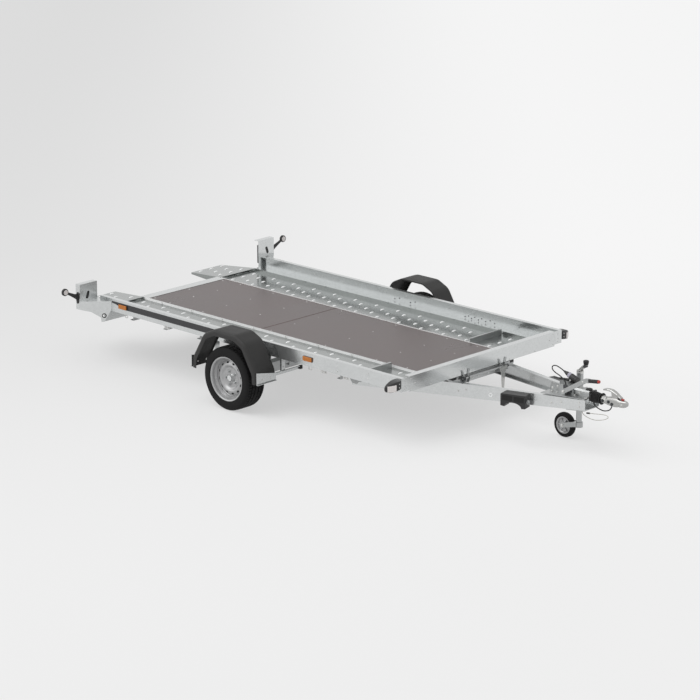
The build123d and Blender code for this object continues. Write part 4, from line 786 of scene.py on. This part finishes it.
def add_tyres():
    outer, inside = tyre_profile()
    for name, side in SIDES:
        made = Builder()
        rings = []
        hub = Vector((at(0), side * WHEEL_Y, WHEEL_Z))
        for pitch in range(TREAD_PITCHES):
            for share, cut in ((0.0, 0.0), (0.80, 0.0), (0.85, 1.0), (0.95, 1.0)):
                angle = 2 * math.pi * (pitch + share) / TREAD_PITCHES
                out = Vector((math.cos(angle), 0, math.sin(angle)))
                ring = []
                for d, r in outer:
                    shoulder = 0.055 < abs(d) < 0.0810 and r > 0.2575
                    middle = 0.020 < abs(d) < 0.050 and (pitch % 2) == 0 and r > 0.2605
                    depth = 0.0055 * cut if shoulder or middle else 0.0
                    ring.append(hub + out * (r - depth) + Vector((0, side * d, 0)))
                for d, r in inside:
                    ring.append(hub + out * r + Vector((0, side * d, 0)))
                rings.append(ring)
        made.rings(rings, closed=True)
        piece("road_tyre_" + name, made, RUBBER, "wheel_" + name,
              stands_for=["tyre_" + name], smooth=32)


RIM_PROFILE = (
    (-88.5, 174.2), (-84, 174.2), (-62, 168), (-52, 158.4), (22, 158.4), (42, 160.5), (62, 168), (84, 174.2),
    (88.6, 174.4), (90.6, 179.6), (91.8, 182.0), (92.8, 182.4), (92.8, 180.4), (91.6, 176.4), (88.6, 171.6),
    (80, 168.2), (64, 164.4), (50, 157.2), (44, 154.2), (36, 153.4), (33.2, 150.5), (35.0, 147.2),
    (40.5, 139.5), (47.5, 125.5), (51.2, 117.5), (52.4, 112.0), (52.0, 107.0), (48.8, 100.8), (43.0, 93.6),
    (38.2, 87.4), (35.8, 82.0), (35.5, 76.0), (35.5, 42.0), (35.0, 33.4), (31.5, 33.4), (31.5, 82), (34, 89),
    (40, 96), (46, 104), (48.4, 109), (48, 113), (44.5, 122), (37, 136), (30, 147), (27, 152), (20, 154.6),
    (-46, 154.6), (-58, 164.4), (-80, 170), (-88.5, 170))


def oval_disc(made, centre, normal, along, length, width, lift=0.0006, steps=18):
    """A thin oval lying on a face."""
    normal = Vector(normal).normalized()
    along = Vector(along).normalized()
    across = normal.cross(along)
    rings = []
    for level, share in ((-0.004, 1.0), (lift, 1.0), (lift * 1.3, 0.7)):
        middle = Vector(centre) + normal * level
        rings.append([middle + along * (math.cos(a) * length / 2 * share)
                      + across * (math.sin(a) * width / 2 * share) for a in circle(steps)])
    made.rings(rings)


def add_rims():
    for name, side in SIDES:
        centre = Vector((at(0), side * WHEEL_Y, WHEEL_Z))
        made = Builder()
        made.lathe([(d * MM, r * MM) for d, r in RIM_PROFILE], centre, (0, side, 0), steps=96)
        piece("rim_disc_" + name, made, RIM_PAINT, "wheel_" + name,
              stands_for=["rim_" + name], smooth=35)
        holes, nuts, ring = Builder(), Builder(), Builder()
        # Dark ovals on the disc: painted shade for its vent holes.
        for k in range(12):
            angle = math.radians(30 * k + 12)
            out = Vector((math.cos(angle), 0, math.sin(angle)))
            tangent = Vector((-math.sin(angle), 0, math.cos(angle)))
            normal = Vector((0, side, 0)) * 0.89 + out * 0.45
            oval_disc(holes, centre + out * 0.1285 + Vector((0, side * 0.0462, 0)), normal, tangent, 0.026,
                      0.017)
        for k in range(5):
            angle = math.radians(72 * k + 40)
            spot = centre + Vector((math.cos(angle), 0, math.sin(angle))) * 0.056 + Vector((0, side * 0.0355,
                                                                                            0))
            nuts.lathe([(-0.002, 0.0), (-0.002, 0.013), (0.0025, 0.0125), (0.005, 0.0105), (0.005, 0.0)],
                       spot, (0, side, 0), steps=20)
            nuts.rod(spot + Vector((0, side * 0.004, 0)), spot + Vector((0, side * 0.015, 0)), 0.0098,
                     steps=6)
            nuts.rod(spot + Vector((0, side * 0.015, 0)), spot + Vector((0, side * 0.0175, 0)), 0.0078,
                     steps=12, end_radius=0.006)
        ring.lathe([(0.034, 0.046), (0.0365, 0.046), (0.0362, 0.074), (0.034, 0.074)], centre, (0, side, 0),
                   steps=48)
        piece("rim_vent_painted_shade_" + name, holes, RECESS_PAINTED_SHADE, "wheel_" + name)
        piece("wheel_bolts_" + name, nuts, ZINC_BAR, "wheel_" + name, smooth=40)
        piece("hub_seat_" + name, ring, RIM_FACE, "wheel_" + name, smooth=40)
        cap = Builder()
        cap.lathe([(0.028, 0.0), (0.028, 0.0331), (0.0375, 0.0331), (0.0385, 0.0318), (0.0525, 0.0298),
                   (0.0560, 0.0280), (0.0578, 0.0240), (0.0585, 0.0150), (0.0588, 0.0)], centre, (0, side, 0),
                   steps=40)
        piece("hub_cap_" + name, cap, CAP_ZINC, "wheel_" + name, smooth=35)


add_tyres()
add_rims()


# ---------------------------------------------------------------- drawbar arms, chocks and latches
def arm_point(station, height, out, side):
    """A point on an arm's outer face, a little outside it."""
    slope = (0.352 - 0.087) / (2.793 - 1.694)
    y = 0.087 + slope * (2.793 - station * MM)
    normal = Vector((slope, side, 0)).normalized()
    return Vector((at(station), side * y, height)) + normal * out, normal


def add_arm_fittings():
    bolts, rings = Builder(), Builder()
    for side in (-1, 1):
        for station, height in ((1735, 0.352), (1800, 0.372), (2310, 0.400), (2520, 0.385), (2600, 0.40),
                                (2745, 0.42), (2745, 0.385)):
            spot, normal = arm_point(station, height, 0.0, side)
            bolts.bolt(spot, normal, 0.006)
        spot, normal = arm_point(2010, 0.362, 0.0, side)
        rings.lathe([(-0.001, 0.010), (0.0012, 0.010), (0.0012, 0.016), (-0.001, 0.016)], spot, normal,
                    steps=24)
    for y in (-0.13, -0.06, 0.06, 0.13):
        bolts.bolt((at(1692), y, 0.405), (1, 0, 0), 0.006)
    for side in (-1, 1):
        for y in (0.205, 0.231):
            bolts.bolt((at(1697), side * y, 0.402), (1, 0, 0), 0.0052)
    piece("arm_bolts", bolts, ZINC_BOLT, "drawbar", smooth=40)
    # The eyelets share the bosses' painted white glint.
    piece("arm_eyelets", rings, WHITE_PAINTED_GLINT, "drawbar", smooth=40)
    springs = Builder()
    for side in (-1, 1):
        coil = []
        for k in range(73):
            angle = 2 * math.pi * k / 12
            coil.append((at(1712) + 0.0105 * math.cos(angle), side * (0.2445 + 0.0012 * k / 12 * 4),
                         0.4245 + 0.0105 * math.sin(angle)))
        springs.tube(coil, 0.0014, steps=6)
    piece("latch_springs", springs, IRON, "drawbar", smooth=60)


add_arm_fittings()


def add_chocks():
    """Black plastic wheel chocks on the arms: a wedge with a curved foot and painted shade in its two
    pockets.
    """
    length, height, depth = 0.215, 0.098, 0.075
    body, hollow, catch = Builder(), Builder(), Builder()
    slope = 33.3 / 1130.5
    for side in (-1, 1):
        start, normal = arm_point(2130, 0.0, 0.0003, side)
        heading = Vector((normal.y * side, -normal.x * side, 0)).normalized()
        if heading.x < 0:
            heading = -heading
        top = 0.4172
        foot = top - height
        arc = [(0.5 * length + 0.34 * length * math.sin(t), foot - 0.004 + 0.040 * math.cos(t))
               for t in [math.radians(-88 + 176 * k / 14) for k in range(15)]]
        outline = [(0.004, top), (length - 0.004, top + slope * length),
                   (length, top + slope * length - 0.004), (length, foot + 0.003),
                   (length - 0.004, foot)] + [(a, b) for a, b in reversed(arc)] + [(0.004, foot),
                                                                                   (0.0, foot + 0.003),
                                                                                   (0.0, top - 0.004)]
        body.prism([start + heading * a + Vector((0, 0, b)) for a, b in outline], normal * depth)
        # Dark insets on the outer face: painted shade in the two pockets.
        for a0, a1 in ((0.014, 0.100), (0.114, 0.201)):
            inset = [(a0, top - 0.012), (a1, top - 0.010), (a1, foot + 0.046), (a0, foot + 0.046)]
            hollow.prism([start + heading * a + Vector((0, 0, b)) + normal * (depth - 0.002) for a,
                          b in inset], normal * 0.0028)
        low = start + heading * (length - 0.002) + normal * (depth * 0.45)
        catch.prism([low + Vector((0, 0, top - 0.030)), low + heading * 0.016 + Vector((0, 0, top - 0.030)),
                     low + heading * 0.016 + Vector((0, 0, top - 0.056)), low + Vector((0, 0, top - 0.056))],
                     normal * 0.02)
        ring = low + heading * 0.022 + normal * 0.030 + Vector((0, 0, top - 0.044))
        catch.tube([ring + heading * (0.013 * math.cos(t)) + Vector((0, 0, 0.015 * math.sin(t)))
                    for t in [2 * math.pi * k / 16 for k in range(17)]], 0.0018, steps=6)
    piece("chock_bodies", body, BLACK, "drawbar", stands_for=["wheel_chocks"], smooth=35)
    piece("chock_pocket_painted_shade", hollow, RECESS_PAINTED_SHADE, "drawbar")
    piece("chock_catches", catch, ZINC_BAR, "drawbar", smooth=45)


add_chocks()


# ---------------------------------------------------------------- overrun coupling
COUPLING_Z = 0.460
BELLOWS = Span("bellows")
HOUSING = Span("overrun_housing")


def add_bellows():
    length = BELLOWS.front - BELLOWS.rear
    outline = [(0.0, 0.0), (0.0, 0.0435), (0.002, 0.0455)]
    ribs = 6
    for k in range(ribs):
        middle = 0.006 + k * 0.0112
        crest = 0.0458 - 0.0012 * k
        outline += [(middle, crest), (middle + 0.0022, crest - 0.0012), (middle + 0.0054, crest - 0.0098),
                    (middle + 0.0064, crest - 0.0098), (middle + 0.0094, crest - 0.0018)]
    outline += [(length - 0.0125, 0.0345), (length - 0.0085, 0.0395), (length - 0.0040, 0.0448),
                (length - 0.0012, 0.0458), (length, 0.0448), (length - 0.001, 0.0428),
                (length - 0.0065, 0.0365), (length - 0.0075, 0.0)]
    made = Builder()
    made.lathe(outline, (BELLOWS.rear, 0, COUPLING_Z), (1, 0, 0), steps=56)
    piece("ribbed_bellows", made, SOFT_RUBBER, "drawbar", stands_for=["bellows"], smooth=40)


def head_ring(x, half, low, top, power=3.2, steps=32):
    """A rounded-square ring across the coupling at a station."""
    middle, rise = (low + top) / 2, (top - low) / 2
    ring = []
    for k in range(steps):
        angle = 2 * math.pi * k / steps
        c, s = math.cos(angle), math.sin(angle)
        y = math.copysign(abs(c) ** (2 / power), c) * half
        z = math.copysign(abs(s) ** (2 / power), s) * rise
        ring.append(Vector((at(x), y, (middle + z))))
    return ring


def add_head():
    made = Builder()
    made.rings([head_ring(2893, 0.0305, 0.4295, 0.4905, 2.0), head_ring(2942, 0.0305, 0.4295, 0.4905, 2.0),
                head_ring(2952, 0.0295, 0.4290, 0.4925, 3.4), head_ring(2976, 0.0295, 0.4270, 0.4975, 3.6),
                head_ring(3020, 0.0290, 0.4250, 0.4985, 3.6), head_ring(3048, 0.0285, 0.4290, 0.4975, 3.4),
                head_ring(3062, 0.0290, 0.4380, 0.4935, 3.2), head_ring(3084, 0.0295, 0.4420, 0.4910, 3.0),
                head_ring(3106, 0.0250, 0.4440, 0.4885, 3.0), head_ring(3124, 0.0175, 0.4470, 0.4860, 3.0),
                head_ring(3133, 0.0130, 0.4500, 0.4820, 3.0), head_ring(3135, 0.0105, 0.4530, 0.4790, 3.0)])
    made.lathe([(-0.0056, 0.0257), (-0.0056, 0.0322), (0.004, 0.0324), (0.016, 0.0300), (0.022, 0.0230),
                (0.022, 0.0)],
               (at(3088), 0, 0.446), (0, 0, 1), steps=48)
    piece("head_shell", made, BRIGHT, "drawbar", stands_for=["coupling_head"], smooth=38)
    cup = Builder()
    cup.lathe([(-0.0060, 0.0), (-0.0060, 0.0256), (-0.0050, 0.0257), (-0.0040, 0.0)], (at(3088), 0, 0.4455),
              (0, 0, 1), steps=40)
    piece("ball_cup_shadow", cup, RECESS_PAINTED_SHADE, "drawbar")
    bolts = Builder()
    for side in (-1, 1):
        for station, height in ((2916, 0.4585), (2972, 0.4600), (3004, 0.4480)):
            half = 0.0310 if station < 2940 else 0.0295
            bolts.rod((at(station), side * (half - 0.003), height),
                      (at(station), side * (half + 0.002), height), 0.0125, steps=24)
            bolts.bolt((at(station), side * (half + 0.002), height), (0, side, 0), 0.0095, washer=False)
    piece("head_bolts", bolts, IRON, "drawbar", smooth=40)

    lever = Builder()
    spine = ((2909, 0.5415, 0.0150, 0.0050), (2918, 0.5440, 0.0195, 0.0058), (2950, 0.5480, 0.0215, 0.0060),
             (2985, 0.5465, 0.0215, 0.0062), (3015, 0.5370, 0.0200, 0.0062), (3040, 0.5240, 0.0180, 0.0060),
             (3060, 0.5110, 0.0170, 0.0056), (3080, 0.5035, 0.0150, 0.0040))
    sections = []
    for x, z, half, thick in spine:
        sections.append([Vector((at(x), y, z + dz)) for y, dz in (
            (-half, -thick), (-half + 0.003, -thick), (half - 0.003, -thick), (half, -thick),
            (half, thick * 0.4), (half - 0.004, thick), (-half + 0.004, thick), (-half, thick * 0.4))])
    lever.rings(sections)
    for side in (-1, 1):
        y0, y1 = sorted((side * 0.0165, side * 0.0205))
        outline = [(at(x), y0, z) for x, z in ((2990, 0.541), (3022, 0.531), (3050, 0.512), (3052, 0.486),
                                               (3030, 0.470),
                                              (3008, 0.478), (2996, 0.500))]
        lever.prism(outline, (0, y1 - y0, 0))
    piece("head_lever", lever, BRIGHT, "drawbar", stands_for=["coupling_handle"], smooth=38)
    sign = Builder()
    sign.block((at(3078), -0.009, 0.4905), (at(3098), 0.009, 0.5005), bevel=0.002)
    piece("coupling_indicator", sign, RED_CAP, "drawbar", smooth=40)
    gap = Builder()
    gap.block((at(2990), -0.013, 0.497), (at(3046), 0.013, 0.512), bevel=0.003)
    piece("lever_spring_box", gap, IRON, "drawbar", smooth=40)


def add_housing_fittings():
    trim = Builder()
    trim.lathe([(0.0, 0.0), (0.0, 0.0250), (0.006, 0.0262), (0.011, 0.0235), (0.0135, 0.016), (0.0140, 0.0)],
               (at(2762), 0, HOUSING.top - 0.001), (0, 0, 1), steps=36)
    trim.block((HOUSING.front - 0.014, -0.0405, COUPLING_Z - 0.030),
               (HOUSING.front, 0.0405, HOUSING.top + 0.0015), bevel=0.004)
    piece("housing_caps", trim, SOFT_RUBBER, "drawbar", smooth=40)
    bolts = Builder()
    for side in (-1, 1):
        for station in (2665, 2775):
            bolts.bolt((at(station), side * 0.056, 0.4516), (0, 0, 1), 0.009)
        for station, height in ((2450, 0.470), (2500, 0.490), (2620, 0.468)):
            bolts.bolt((at(station), side * 0.060, height), (0, side, 0), 0.007)
        for station in (2470, 2520, 2575):
            bolts.bolt((at(station), side * 0.093, 0.4516), (0, 0, 1), 0.007)
    bolts.bolt((at(2700), -0.038, 0.478), (0, -1, 0), 0.008)
    piece("coupling_bolts", bolts, ZINC_BOLT, "drawbar", smooth=40)
    gear = Builder()
    teeth = []
    for k in range(29):
        angle = math.radians(-20 + 5 * k)
        radius = 0.050 if k % 2 else 0.0465
        teeth.append((at(2586) + radius * math.cos(angle), -0.0665, 0.474 + radius * math.sin(angle)))
    teeth += [(at(2586) - 0.020, -0.0665, 0.474), (at(2586), -0.0665, 0.474 - 0.012)]
    gear.prism(teeth, (0, -0.005, 0))
    piece("brake_ratchet", gear, IRON, "drawbar", smooth=20)
    boot = Builder()
    boot.rod((at(2378), 0.046, 0.512), (at(2520), 0.046, 0.5225), 0.0045, end_radius=0.0120, steps=20)
    boot.rod((at(2440), 0.046, 0.5165), (at(2448), 0.046, 0.5170), 0.0105, steps=20)
    piece("cable_boot", boot, BLACK, "drawbar", smooth=45)


add_bellows()
add_head()
add_housing_fittings()


# ---------------------------------------------------------------- handbrake grip, plug and its dock
def add_grip():
    box = Span("handbrake_grip")
    tilt = math.radians(8)
    along = Vector((math.cos(tilt), 0, math.sin(tilt)))
    start = Vector((box.rear + 0.0021, (box.right + box.left) / 2, box.low + 0.01486))
    outline = [(0.0, 0.0), (0.0, 0.0135), (0.003, 0.0149)]
    for k in range(7):
        outline += [(0.012 + k * 0.0105, 0.0149), (0.0145 + k * 0.0105, 0.0136), (0.017 + k * 0.0105, 0.0149)]
    outline += [(0.0870, 0.0149), (0.0885, 0.0138), (0.0885, 0.0)]
    grip = Builder()
    grip.lathe(outline, start, along, steps=28)
    piece("grip_sleeve", grip, SOFT_RUBBER, "handbrake", stands_for=["handbrake_grip"],
          smooth=40)
    button = Builder()
    button.lathe([(0.0880, 0.0), (0.0880, 0.0130), (0.0960, 0.0136), (0.1010, 0.0115), (0.1035, 0.0060),
                  (0.1038, 0.0)], start,
                 along, steps=28)
    piece("grip_button", button, RED_CAP, "handbrake", smooth=40)
    pin = Builder()
    pivot = Span("handbrake_lever")
    pin.bolt((at(2586), pivot.right, 0.474), (0, -1, 0), 0.010)
    pin.bolt((at(2778), pivot.right, 0.593), (0, -1, 0), 0.006)
    piece("brake_pins", pin, ZINC_BOLT, "handbrake", smooth=40)


def add_plug():
    axis = Vector((130, 0, -51)).normalized()
    foot = Vector((at(2489), 0.030, 0.588))
    body = Builder()
    body.lathe([(0.0, 0.0), (0.0, 0.0085), (0.010, 0.0092), (0.026, 0.0150), (0.046, 0.0180), (0.048, 0.0)],
               foot, axis, steps=28)
    body.lathe([(0.071, 0.0), (0.071, 0.0235), (0.076, 0.0258), (0.112, 0.0260), (0.116, 0.0245),
                (0.122, 0.0250), (0.137, 0.0255), (0.1392, 0.0235), (0.1392, 0.0)], foot, axis, steps=32)
    piece("plug_body", body, BLACK, "drawbar", stands_for=["plug"], smooth=35)
    collar = Builder()
    outline = [(0.046, 0.0), (0.046, 0.0195)]
    outline += [(0.050, 0.0225), (0.056, 0.0215), (0.062, 0.0228), (0.068, 0.0222), (0.072, 0.0222),
                (0.072, 0.0)]
    collar.lathe(outline, foot, axis, steps=28)
    piece("plug_collar", collar, LILAC, "drawbar", smooth=35)
    dock = Builder()
    dock.block((at(2552), 0.008, 0.5128), (at(2604), 0.052, 0.5185), bevel=0.002)
    dock.rod(foot + axis * 0.128, foot + axis * 0.1388, 0.0262, steps=28)
    piece("plug_dock", dock, SOFT_RUBBER, "drawbar", smooth=40)


add_grip()
add_plug()


# ---------------------------------------------------------------- jockey wheel
def add_jockey():
    box = Span("jockey_tyre")
    hub = Vector(((box.rear + box.front) / 2, (box.right + box.left) / 2, (box.low + box.top) / 2))
    half = (box.left - box.right) / 2
    tyre = Builder()
    tyre.lathe([(-half + 0.003, 0.0685), (-half, 0.074), (-half, 0.082), (-half + 0.003, 0.0905),
                (-half + 0.010, 0.0972), (-0.008, 0.0997), (0.008, 0.0997), (half - 0.010, 0.0972),
                (half - 0.003, 0.0905), (half, 0.082), (half, 0.074), (half - 0.003, 0.0685)], hub, (0, 1, 0),
                steps=64)
    piece("jockey_tread", tyre, RUBBER, "jockey_wheel", stands_for=["jockey_tyre"], smooth=40)
    rim = Builder()
    rim.lathe([(-half + 0.002, 0.0686), (-half + 0.001, 0.0660), (-half + 0.004, 0.0600), (-0.010, 0.0520),
               (-0.009, 0.0380), (-0.013, 0.0260), (-half + 0.001, 0.0215), (-half, 0.0190), (-half, 0.0100),
               (half, 0.0100), (half, 0.0190), (half - 0.001, 0.0215), (0.013, 0.0260), (0.009, 0.0380),
               (0.010, 0.0520), (half - 0.004, 0.0600), (half - 0.001, 0.0660), (half - 0.002, 0.0686)], hub,
               (0, 1, 0), steps=56)
    for k in range(6):
        angle = math.radians(60 * k)
        out = Vector((math.cos(angle), 0, math.sin(angle)))
        for side in (-1, 1):
            rim.rod(hub + out * 0.022 + Vector((0, side * 0.016, 0)),
                    hub + out * 0.058 + Vector((0, side * 0.014, 0)), 0.0042, steps=10)
    piece("jockey_disc", rim, RIM_PAINT, "jockey_wheel", stands_for=["jockey_rim"], smooth=38)
    nuts = Builder()
    fork = Span("jockey_fork")
    for y, out in ((fork.right, -1), (fork.left, 1)):
        nuts.bolt((hub.x, y, hub.z), (0, out, 0), 0.011)
    piece("jockey_nuts", nuts, ZINC_BOLT, "jockey_fork", smooth=40)

    tube = Span("jockey_clamp")
    tube_x, tube_y = at(2520), 0.1815
    collars = Builder()
    for low, high, radius in ((tube.top - 0.014, tube.top + 0.0005, 0.0285),
                              (tube.low - 0.0005, tube.low + 0.012, 0.0285)):
        collars.lathe([(0.0, 0.0232), (0.0, radius - 0.001), (0.001, radius), (high - low - 0.001, radius),
                       (high - low, radius - 0.001), (high - low, 0.0232)], (tube_x, tube_y, low), (0, 0, 1),
                       steps=36)
    piece("jockey_collars", collars, ZINC_BOLT, "drawbar", smooth=40)
    clamp = Builder()
    for height in (0.395, 0.432):
        clamp.bolt((at(2480), 0.181, height), (-0.24, 1, 0), 0.008)
        clamp.bolt((at(2556), 0.163, height), (-0.24, 1, 0), 0.008)
    clamp.rod((tube_x, 0.207, 0.414), (tube_x, 0.236, 0.414), 0.007, steps=16)
    clamp.rod((tube_x - 0.032, 0.238, 0.402), (tube_x + 0.032, 0.238, 0.426), 0.0055, steps=14)
    piece("clamp_screw", clamp, ZINC_BOLT, "drawbar", smooth=40)

    knob = Span("crank_knob")
    middle = Vector(((knob.rear + knob.front) / 2, (knob.right + knob.left) / 2, knob.low))
    height = knob.top - knob.low
    grip = Builder()
    rings = []
    for level, share in ((0.0, 0.62), (0.003, 0.80), (0.010, 0.88), (height - 0.008, 1.0),
                         (height - 0.003, 0.96), (height, 0.80)):
        ring = []
        for k in range(48):
            angle = 2 * math.pi * k / 48
            radius = 0.0229 * share * (1 - 0.05 * (0.5 + 0.5 * math.cos(12 * angle)))
            ring.append(middle + Vector((radius * math.cos(angle), radius * math.sin(angle), level)))
        rings.append(ring)
    grip.rings(rings)
    piece("crank_grip", grip, SOFT_RUBBER, "drawbar", stands_for=["crank_knob"], smooth=50)
    joint = Builder()
    joint.rod((middle.x, middle.y, 0.606), (middle.x, middle.y, middle.z + 0.002), 0.0085, steps=20)
    joint.rod((middle.x - 0.004, middle.y - 0.0155, 0.6125), (middle.x - 0.004, middle.y + 0.0155, 0.6125),
              0.012, steps=20)
    piece("crank_joint", joint, IRON, "drawbar", smooth=45)


add_jockey()


# ---------------------------------------------------------------- stage
def numbers(nodes, links, operation, first, second):
    """A math node of two inputs, each a socket or a number."""
    node = nodes.new("ShaderNodeMath")
    node.operation = operation
    for socket, value in zip(node.inputs, (first, second)):
        if isinstance(value, (int, float)):
            socket.default_value = value
        else:
            links.new(value, socket)
    return node.outputs["Value"]


def seen_directly(nodes, links):
    """1 for camera, glossy and transmission rays, 0 for the rays that light the object."""
    path = nodes.new("ShaderNodeLightPath")
    seen = numbers(nodes, links, "MAXIMUM", path.outputs["Is Camera Ray"], path.outputs["Is Glossy Ray"])
    return numbers(nodes, links, "MAXIMUM", seen, path.outputs["Is Transmission Ray"])


def pale_floor():
    """A matt floor that glows for the camera too, a little brighter to the right."""
    mat = bpy.data.materials.new("pale_floor")
    mat.use_nodes = True
    nodes, links = mat.node_tree.nodes, mat.node_tree.links
    nodes.remove(nodes["Principled BSDF"])
    matt = nodes.new("ShaderNodeBsdfDiffuse")
    matt.inputs["Color"].default_value = (0.84, 0.84, 0.84, 1)
    coords = nodes.new("ShaderNodeTexCoord")
    split = nodes.new("ShaderNodeSeparateXYZ")
    links.new(coords.outputs["Object"], split.inputs["Vector"])
    sideways = numbers(nodes, links, "ADD", numbers(nodes, links, "MULTIPLY", split.outputs["X"],
                                                    math.cos(AZIMUTH)),
                       numbers(nodes, links, "MULTIPLY", split.outputs["Y"], math.sin(AZIMUTH)))
    away = numbers(nodes, links, "SUBTRACT", numbers(nodes, links, "MULTIPLY", split.outputs["Y"],
                                                     math.cos(AZIMUTH)),
                   numbers(nodes, links, "MULTIPLY", split.outputs["X"], math.sin(AZIMUTH)))
    across = nodes.new("ShaderNodeMapRange")
    across.interpolation_type = "SMOOTHSTEP"
    across.inputs["From Min"].default_value = -4.5
    across.inputs["From Max"].default_value = 2.5
    across.inputs["To Min"].default_value = -0.2
    across.inputs["To Max"].default_value = 0.12
    links.new(sideways, across.inputs["Value"])
    depth = nodes.new("ShaderNodeMapRange")
    depth.interpolation_type = "SMOOTHSTEP"
    depth.inputs["From Min"].default_value = -5.0
    depth.inputs["From Max"].default_value = 5.0
    links.new(away, depth.inputs["Value"])
    level = numbers(nodes, links, "ADD", numbers(nodes, links, "MULTIPLY", across.outputs["Result"],
                                                 depth.outputs["Result"]), 0.87)
    glow = nodes.new("ShaderNodeEmission")
    links.new(level, glow.inputs["Strength"])
    blend = nodes.new("ShaderNodeMixShader")
    links.new(numbers(nodes, links, "MULTIPLY", seen_directly(nodes, links), 0.6), blend.inputs["Fac"])
    links.new(matt.outputs["BSDF"], blend.inputs[1])
    links.new(glow.outputs["Emission"], blend.inputs[2])
    links.new(blend.outputs["Shader"], nodes["Material Output"].inputs["Surface"])
    return mat


def add_stage():
    """A plain pale floor under a white sky, a wide soft sun and two large soft lamps."""
    floor = bpy.data.meshes.new("floor")
    floor.from_pydata([(-90, -90, 0), (90, -90, 0), (90, 90, 0), (-90, 90, 0)], [], [(0, 1, 2, 3)])
    obj = bpy.data.objects.new("floor", floor)
    bpy.context.scene.collection.objects.link(obj)
    floor.materials.append(pale_floor())

    world = bpy.data.worlds.new("studio")
    bpy.context.scene.world = world
    world.use_nodes = True
    nodes, links = world.node_tree.nodes, world.node_tree.links
    back = nodes["Background"]
    back.inputs["Color"].default_value = (1, 1, 1, 1)
    level = nodes.new("ShaderNodeMapRange")
    level.inputs["To Min"].default_value = 0.6
    level.inputs["To Max"].default_value = 0.88
    links.new(seen_directly(nodes, links), level.inputs["Value"])
    links.new(level.outputs["Result"], back.inputs["Strength"])

    sun = bpy.data.lights.new("soft_sun", "SUN")
    sun.energy = 1.25
    sun.angle = math.radians(50)
    lamp = bpy.data.objects.new("soft_sun", sun)
    lamp.rotation_euler = Vector((-0.25, -0.45, 0.86)).to_track_quat("Z", "Y").to_euler()
    bpy.context.scene.collection.objects.link(lamp)
    for name, toward, size, energy in (("left_box", (-0.667, -0.69, 0.28), 9.0, 210.0),
                                       ("front_box", (0.9, 0.1, 0.42), 6.0, 80.0)):
        data = bpy.data.lights.new(name, "AREA")
        data.size = size
        data.energy = energy
        lamp = bpy.data.objects.new(name, data)
        lamp.location = Vector(toward) * 12.0
        lamp.rotation_euler = Vector(toward).to_track_quat("Z", "Y").to_euler()
        lamp.visible_camera = False
        bpy.context.scene.collection.objects.link(lamp)
    bpy.context.scene.view_settings.view_transform = "Standard"


add_stage()
